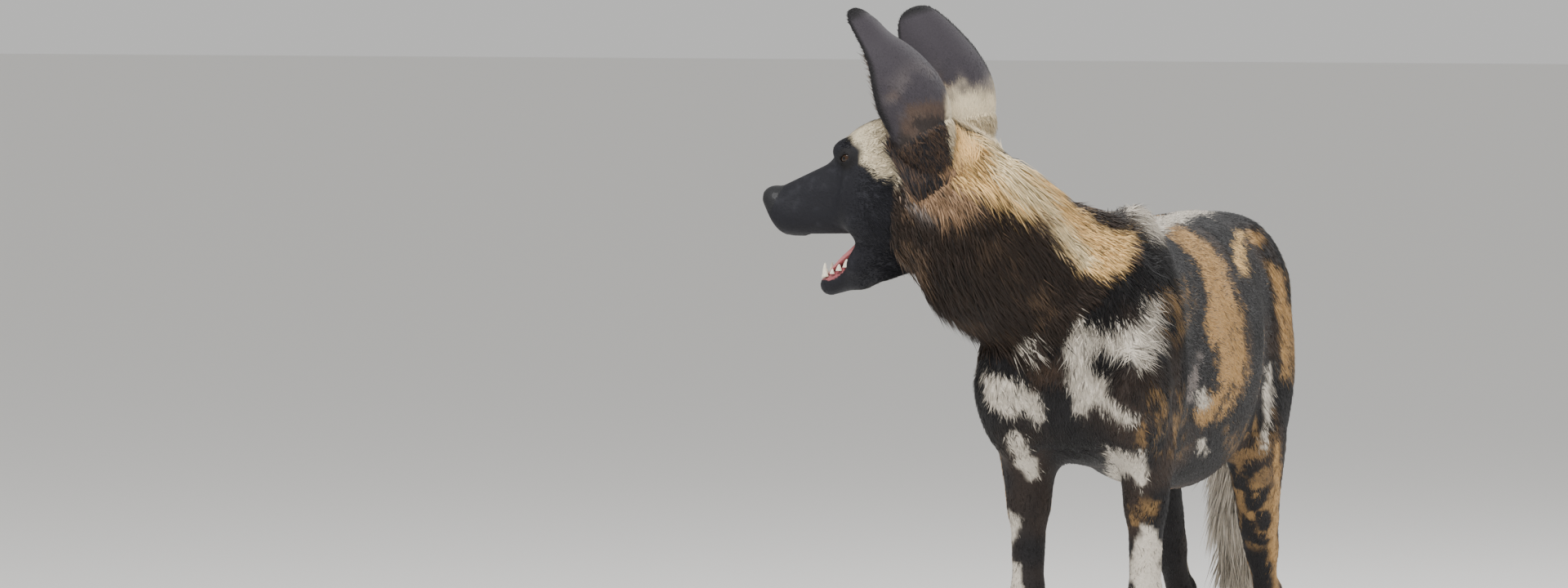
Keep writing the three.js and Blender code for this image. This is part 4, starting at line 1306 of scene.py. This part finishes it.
is_trunk = is_in(tri_label, ["torso"] + UPPER_LEGS)
left_half = centres[:, 0] > 0
coat("fur_trunk_left", is_trunk & left_half, 42000, short_length, 2.4, 0.13)
coat("fur_trunk_right", is_trunk & ~left_half, 42000, short_length, 2.4, 0.13)
coat("fur_legs", is_in(tri_label, LOWER_LEGS + PAWS), 44000, short_length, 1.8, 0.12)
coat("fur_head", is_in(tri_label, HEAD_PARTS), 46000, face_length, 1.3, 0.2)
is_neck = is_in(tri_label, ["neck"])
for name in ("fur_ruff_1", "fur_ruff_2"):
    coat(name, is_neck, 18500, ruff_length, 2.5, 0.22, joints=2, spray=0.2, sag=0.12, slot="mane")
is_tail = is_in(tri_label, ["tail"])
coat("fur_tail", is_tail, 14000, tail_length, 2.4, 0.2, joints=2, spray=0.14, sag=0.1, slot="brush")

# Fur of the ears, whose unwrap has a cell for each ear and one for the hair that falls from it
EAR_CELLS = {"ear_left": 20, "ear_right": 21}
FALL_CELLS = {"ear_left": 22, "ear_right": 23}


def ear_coat(name, count):
    at_u = rng.uniform(-0.98, 0.98, count)
    at_v = rng.uniform(0.02, 0.985, count)
    inside = rng.random(count) < 0.4
    thick = np.where(inside, -EAR_SKIN, EAR_SKIN)
    roots = ear_point(name, at_u, at_v, thick)
    step = 0.01
    du = ear_point(name, at_u + step, at_v, thick) - ear_point(name, at_u - step, at_v, thick)
    dv = ear_point(name, at_u, np.minimum(at_v + step, 1), thick) - ear_point(name, at_u, at_v - step, thick)
    n = unit(np.cross(du, dv))
    away = ear_point(name, at_u, at_v, thick * 4) - roots
    n = n * np.sign(np.sum(n * away, 1))[:, None]
    flow = unit(dv) + unit(du) * (at_u * 0.5)[:, None] + rng.normal(0, 0.2, roots.shape)
    fringe = inside & (np.abs(at_u) > 0.45) & (at_v < 0.75)
    long = np.where(fringe, 15, 5 + 8 * np.clip(0.7 - at_v, 0, 1)) * rng.uniform(0.7, 1.2, count)
    wide = rng.uniform(0.8, 1.5, count)
    tint = np.where(fringe[:, None], FRINGE, ear_colour(roots, at_u, at_v, inside))
    tint = tint * rng.uniform(0.75, 1.25, (count, 1))
    half = CELL_SPAN / 2
    across = CELL_EDGE + half * (at_u * 0.5 + 0.5) + half * inside
    uv = cell_uv(EAR_CELLS[name], across, CELL_EDGE + CELL_SPAN * at_v)
    tufts(f"fur_{name}", "ear", roots, n, flow, long, wide, np.full(count, 0.16), tint, uv)


for name in EARS:
    ear_coat(name, 15000)

BASE_REACH = 44.0


def ear_base_coat(name, count):
    """Hair that rises from the head round the base of an ear."""
    base, axis, _, face, rows = ear_frame(name)
    middle = base + (rows[0, 3], 0.0, -4.0)
    offset = centres - middle
    level = offset @ axis
    ring = np.linalg.norm(offset - level[:, None] * axis, axis=1)
    chosen = (ring < BASE_REACH) & (level > -40) & (level < 34) & ~tri_bare
    roots, n, names = spread(chosen, count)
    flow = axis + face * -0.25 + rng.normal(0, 0.2, roots.shape)
    drop = (roots - middle) @ axis
    long = (20 + np.clip(-drop, 0, 30) * 0.3) * rng.uniform(0.7, 1.2, count)
    tint = coat_colour(roots, n, names, 3.0)
    under = (roots[:, 1] < HEAD_Y) & (to_pixels(roots)[:, 0] < 1158)
    mixed = np.where(rng.random(count)[:, None] < 0.45, np.array(BROWN) * 1.3, np.array(BLACK) * 2)
    tint = np.where(under[:, None], mixed, tint)
    if name == "ear_right":
        tint = np.tile(CREAM, (count, 1))
    tint = tint * rng.uniform(0.75, 1.3, (count, 1))
    wide = rng.uniform(1.1, 2.0, count)
    uv = unwrap(roots, names)
    tufts(f"fur_{name}_base", "coat", roots, n, flow, long, wide, np.full(count, 0.5), tint, uv, 2)


FALL_HEIGHT = 0.2
CREAM_FROM = {"ear_left": 1156, "ear_right": 1150}


def ear_fall(name, count):
    """Hair that falls from the lowest part of the ear's back over its join with the head."""
    at_u = rng.uniform(-0.95, 0.95, count)
    at_v = rng.uniform(0.0, FALL_HEIGHT, count)
    roots = ear_point(name, at_u, at_v, EAR_SKIN)
    n = unit(ear_point(name, at_u, at_v, EAR_SKIN * 4) - roots)
    axis = ear_frame(name)[1]
    flow = -axis + rng.normal(0, 0.3, roots.shape)
    long = (9 + 14 * (1 - at_v / FALL_HEIGHT)) * rng.uniform(0.7, 1.3, count)
    dark = rng.random(count)[:, None] < 0.55
    tint = np.where(dark, np.array(BLACK) * 2.2, np.array(BROWN) * 1.3)
    cream = to_pixels(roots)[:, 0] > CREAM_FROM[name]
    tint = np.where(cream[:, None], CREAM, tint) * rng.uniform(0.7, 1.3, (count, 1))
    across = CELL_EDGE + CELL_SPAN * (at_u * 0.5 + 0.5)
    uv = cell_uv(FALL_CELLS[name], across, CELL_EDGE + 4 * at_v)
    wide = rng.uniform(1.1, 2.0, count)
    tufts(f"fur_{name}_fall", "coat", roots, n, flow, long, wide, np.full(count, 0.12), tint, uv, 2)


for name in EARS:
    ear_base_coat(name, 4800)
    ear_fall(name, 3200)

# Eyes
EYE_ROWS = 38
EYE_COLUMNS = 48
BALL_RADIUS = EYE_RADIUS * 0.97
CORNEA_RADIUS = EYE_RADIUS * 1.014
IRIS_ANGLE = 0.66
PUPIL_ANGLE = 0.26


def build_eye(name, s):
    centre = eye_centre(s)
    gaze = direction((-0.48, -s * 0.87, 0.02))
    side = direction(np.cross(gaze, (0, 0, 1)))
    up = np.cross(side, gaze)
    theta = np.linspace(0, math.pi, EYE_ROWS + 2)[1:-1]
    phi = np.linspace(0, 2 * math.pi, EYE_COLUMNS, endpoint=False)
    tt, pp = np.meshgrid(theta, phi, indexing="ij")
    bulge = 1 + 0.045 * np.exp(-(tt / 0.55) ** 2)
    ring = (np.sin(tt) * np.cos(pp))[..., None] * side + (np.sin(tt) * np.sin(pp))[..., None] * up
    shape = centre + BALL_RADIUS * bulge[..., None] * (ring + np.cos(tt)[..., None] * gaze)
    poles = [centre + CORNEA_RADIUS * gaze, centre - BALL_RADIUS * gaze]
    shape = np.concatenate([shape.reshape(-1, 3), poles])
    angle = np.concatenate([tt.ravel(), [0, math.pi]])
    colour = np.tile(EYE_RIM, (len(shape), 1))
    colour = paint(colour, IRIS, step_up(IRIS_ANGLE - angle, 0, 0.06))
    colour = paint(colour, PUPIL, step_up(PUPIL_ANGLE - angle, 0, 0.04))
    piece = make_mesh(name, shape, tube_faces(EYE_ROWS, EYE_COLUMNS), colour)
    dress(piece, "eye", eye_material)
    return piece


for name, s in SIDES:
    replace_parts(build_eye(f"eye_{name}_ball", s), f"eye_{name}")

# Teeth and claws: curved cones
CONE_ROWS = 9
CONE_COLUMNS = 12


def curved_cone(base, tip, bend, radius, flat):
    """Points of a cone that bends: its rings, the middle of its base, and its tip."""
    base, tip, bend = (np.array(v, float) for v in (base, tip, bend))
    axis = tip - base
    side = direction(np.cross(axis, bend))
    front = np.cross(side, direction(axis))
    t = (np.arange(CONE_ROWS) / CONE_ROWS)[:, None, None]
    angle = (2 * math.pi * np.arange(CONE_COLUMNS) / CONE_COLUMNS)[:, None]
    r = radius * (1 - t) ** 0.6
    rings = base + axis * t + bend * (t * t) + side * r * flat * np.cos(angle) + front * r * np.sin(angle)
    return np.concatenate([rings.reshape(-1, 3), [base, tip + bend]])


def join_cones(name, cones, tint, material):
    shape = np.concatenate(cones)
    starts = np.arange(len(cones))[:, None, None] * len(cones[0])
    blocks = [
        (starts + block).reshape(-1, block.shape[1])
        for block in tube_faces(CONE_ROWS, CONE_COLUMNS, turn=-1)
    ]
    dress(make_mesh(name, shape, blocks, np.tile(tint, (len(shape), 1))), "coat", material)


# Cheek teeth: distance behind the nose, distance from the middle, height, half width
CHEEK_TEETH = (
    (77, 13.5, 17, 4.0), (86, 17, 6, 3.2), (95, 19.5, 8, 4.0), (105, 22, 10, 4.8), (117, 24.5, 12.5, 6.0),
)
FRONT_TEETH = (2.6, 7.6)
teeth = []
for s in (1, -1):
    for at, side, height, half in CHEEK_TEETH:
        gum = 631 + (at - 76) * 0.42
        hooked = height > 15
        tip = head(at - (3 if hooked else 0), s * side, gum + height)
        bend = (2.5 if hooked else 0.6, 0, 0)
        teeth.append(curved_cone(head(at, s * side, gum), tip, bend, half, 0.62))
    for side in FRONT_TEETH:
        base, tip = head(70.5 + side * 0.3, s * side, 630), head(70 + side * 0.3, s * side, 640)
        teeth.append(curved_cone(base, tip, (0.5, 0, 0), 2.4, 0.8))
join_cones("teeth", teeth, IVORY, tooth_material)
tips = [toe_tip(toes, n, width) for toes, width in feet for n in TOES]
claws = [curved_cone(tip + (0, -1, 3), tip + (0, -15, -2), (0, -1, -7), 3.2, 0.7) for tip in tips]
join_cones("claws", claws, CLAW, claw_material)

# Tongue: a flat arch that rises towards the throat.
# Each row has the distance behind the nose, the height, half the width and half the depth.
TONGUE_COLUMNS = 24
TONGUE_LINE = np.array([
    [76, 631, 8, 2.5], [84, 640, 13, 4.5], [96, 651, 16, 6],
    [110, 662, 17, 7.5], [126, 674, 17, 9], [142, 682, 14, 8],
], float)
at, height, half, deep = TONGUE_LINE.T[:, :, None]
turn = np.linspace(0, 2 * math.pi, TONGUE_COLUMNS, endpoint=False)
groove = 1.6 * np.exp(-(np.cos(turn) / 0.25) ** 2) * (np.sin(turn) > 0)
rings = np.broadcast_arrays(*head(at, half * np.cos(turn), height + deep * np.sin(turn) - groove))
shape = np.concatenate([np.stack(rings, -1).reshape(-1, 3), [head(73, 0, 629), head(148, 0, 684)]])
tongue = make_mesh("tongue_arch", shape, tube_faces(len(TONGUE_LINE), TONGUE_COLUMNS))
tongue_material, nodes, links, shader = new_material("tongue", 0.35, coat=0.4)
texture = add_noise(nodes, links, 350, 2.0)
ramp_node = nodes.new("ShaderNodeValToRGB")
ramp_node.color_ramp.elements[0].color = TONGUE_DARK
ramp_node.color_ramp.elements[1].color = TONGUE_LIGHT
links.new(texture.outputs["Fac"], ramp_node.inputs["Fac"])
links.new(ramp_node.outputs["Color"], shader.inputs["Base Color"])
add_bump(nodes, links, texture, shader, 0.4)
dress(tongue, "tongue", tongue_material)
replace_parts(tongue, "tongue")

# Studio: floor, lights and camera
FLOOR = 40.0
floor_mesh = bpy.data.meshes.new("floor")
floor_corners = [(-FLOOR, -FLOOR, 0), (FLOOR, -FLOOR, 0), (FLOOR, FLOOR, 0), (-FLOOR, FLOOR, 0)]
floor_mesh.from_pydata(floor_corners, [], [(0, 1, 2, 3)])
floor_material, _, _, floor_shader = new_material("floor", 0.9)
floor_shader.inputs["Base Color"].default_value = FLOOR_PALE
floor_mesh.materials.append(floor_material)
link("floor", floor_mesh)

world = bpy.data.worlds.new("studio")
world.use_nodes = True
sky = world.node_tree.nodes["Background"]
sky.inputs["Color"].default_value = SKY_PALE
sky.inputs["Strength"].default_value = 0.75
bpy.context.scene.world = world


def area_light(name, place, target, size, power):
    data = bpy.data.lights.new(name, "AREA")
    data.size = size
    data.energy = power
    lamp = link(name, data)
    lamp.location = place
    lamp.rotation_euler = (Vector(target) - Vector(place)).to_track_quat("-Z", "Y").to_euler()


area_light("key", (-0.9, -2.8, 4.0), (0, 0, 0.55), 2.2, 230)
area_light("fill", (3.4, -2.4, 2.2), (0, 0, 0.5), 3.0, 90)
area_light("back", (1.5, 2.6, 3.4), (0, 0, 0.6), 2.4, 130)

camera_data = bpy.data.cameras.new("camera")
camera_data.sensor_width = SENSOR_MM
camera_data.lens = FOCAL_PIXELS * SENSOR_MM / FRAME_WIDTH
camera_data.clip_end = 200
camera = link("camera", camera_data)
columns = [view_right, view_up, -view_forward, to_packed(view_point)]
camera.matrix_world = Matrix([[float(c[i]) for c in columns] for i in range(3)] + [[0, 0, 0, 1]])
bpy.context.scene.camera = camera
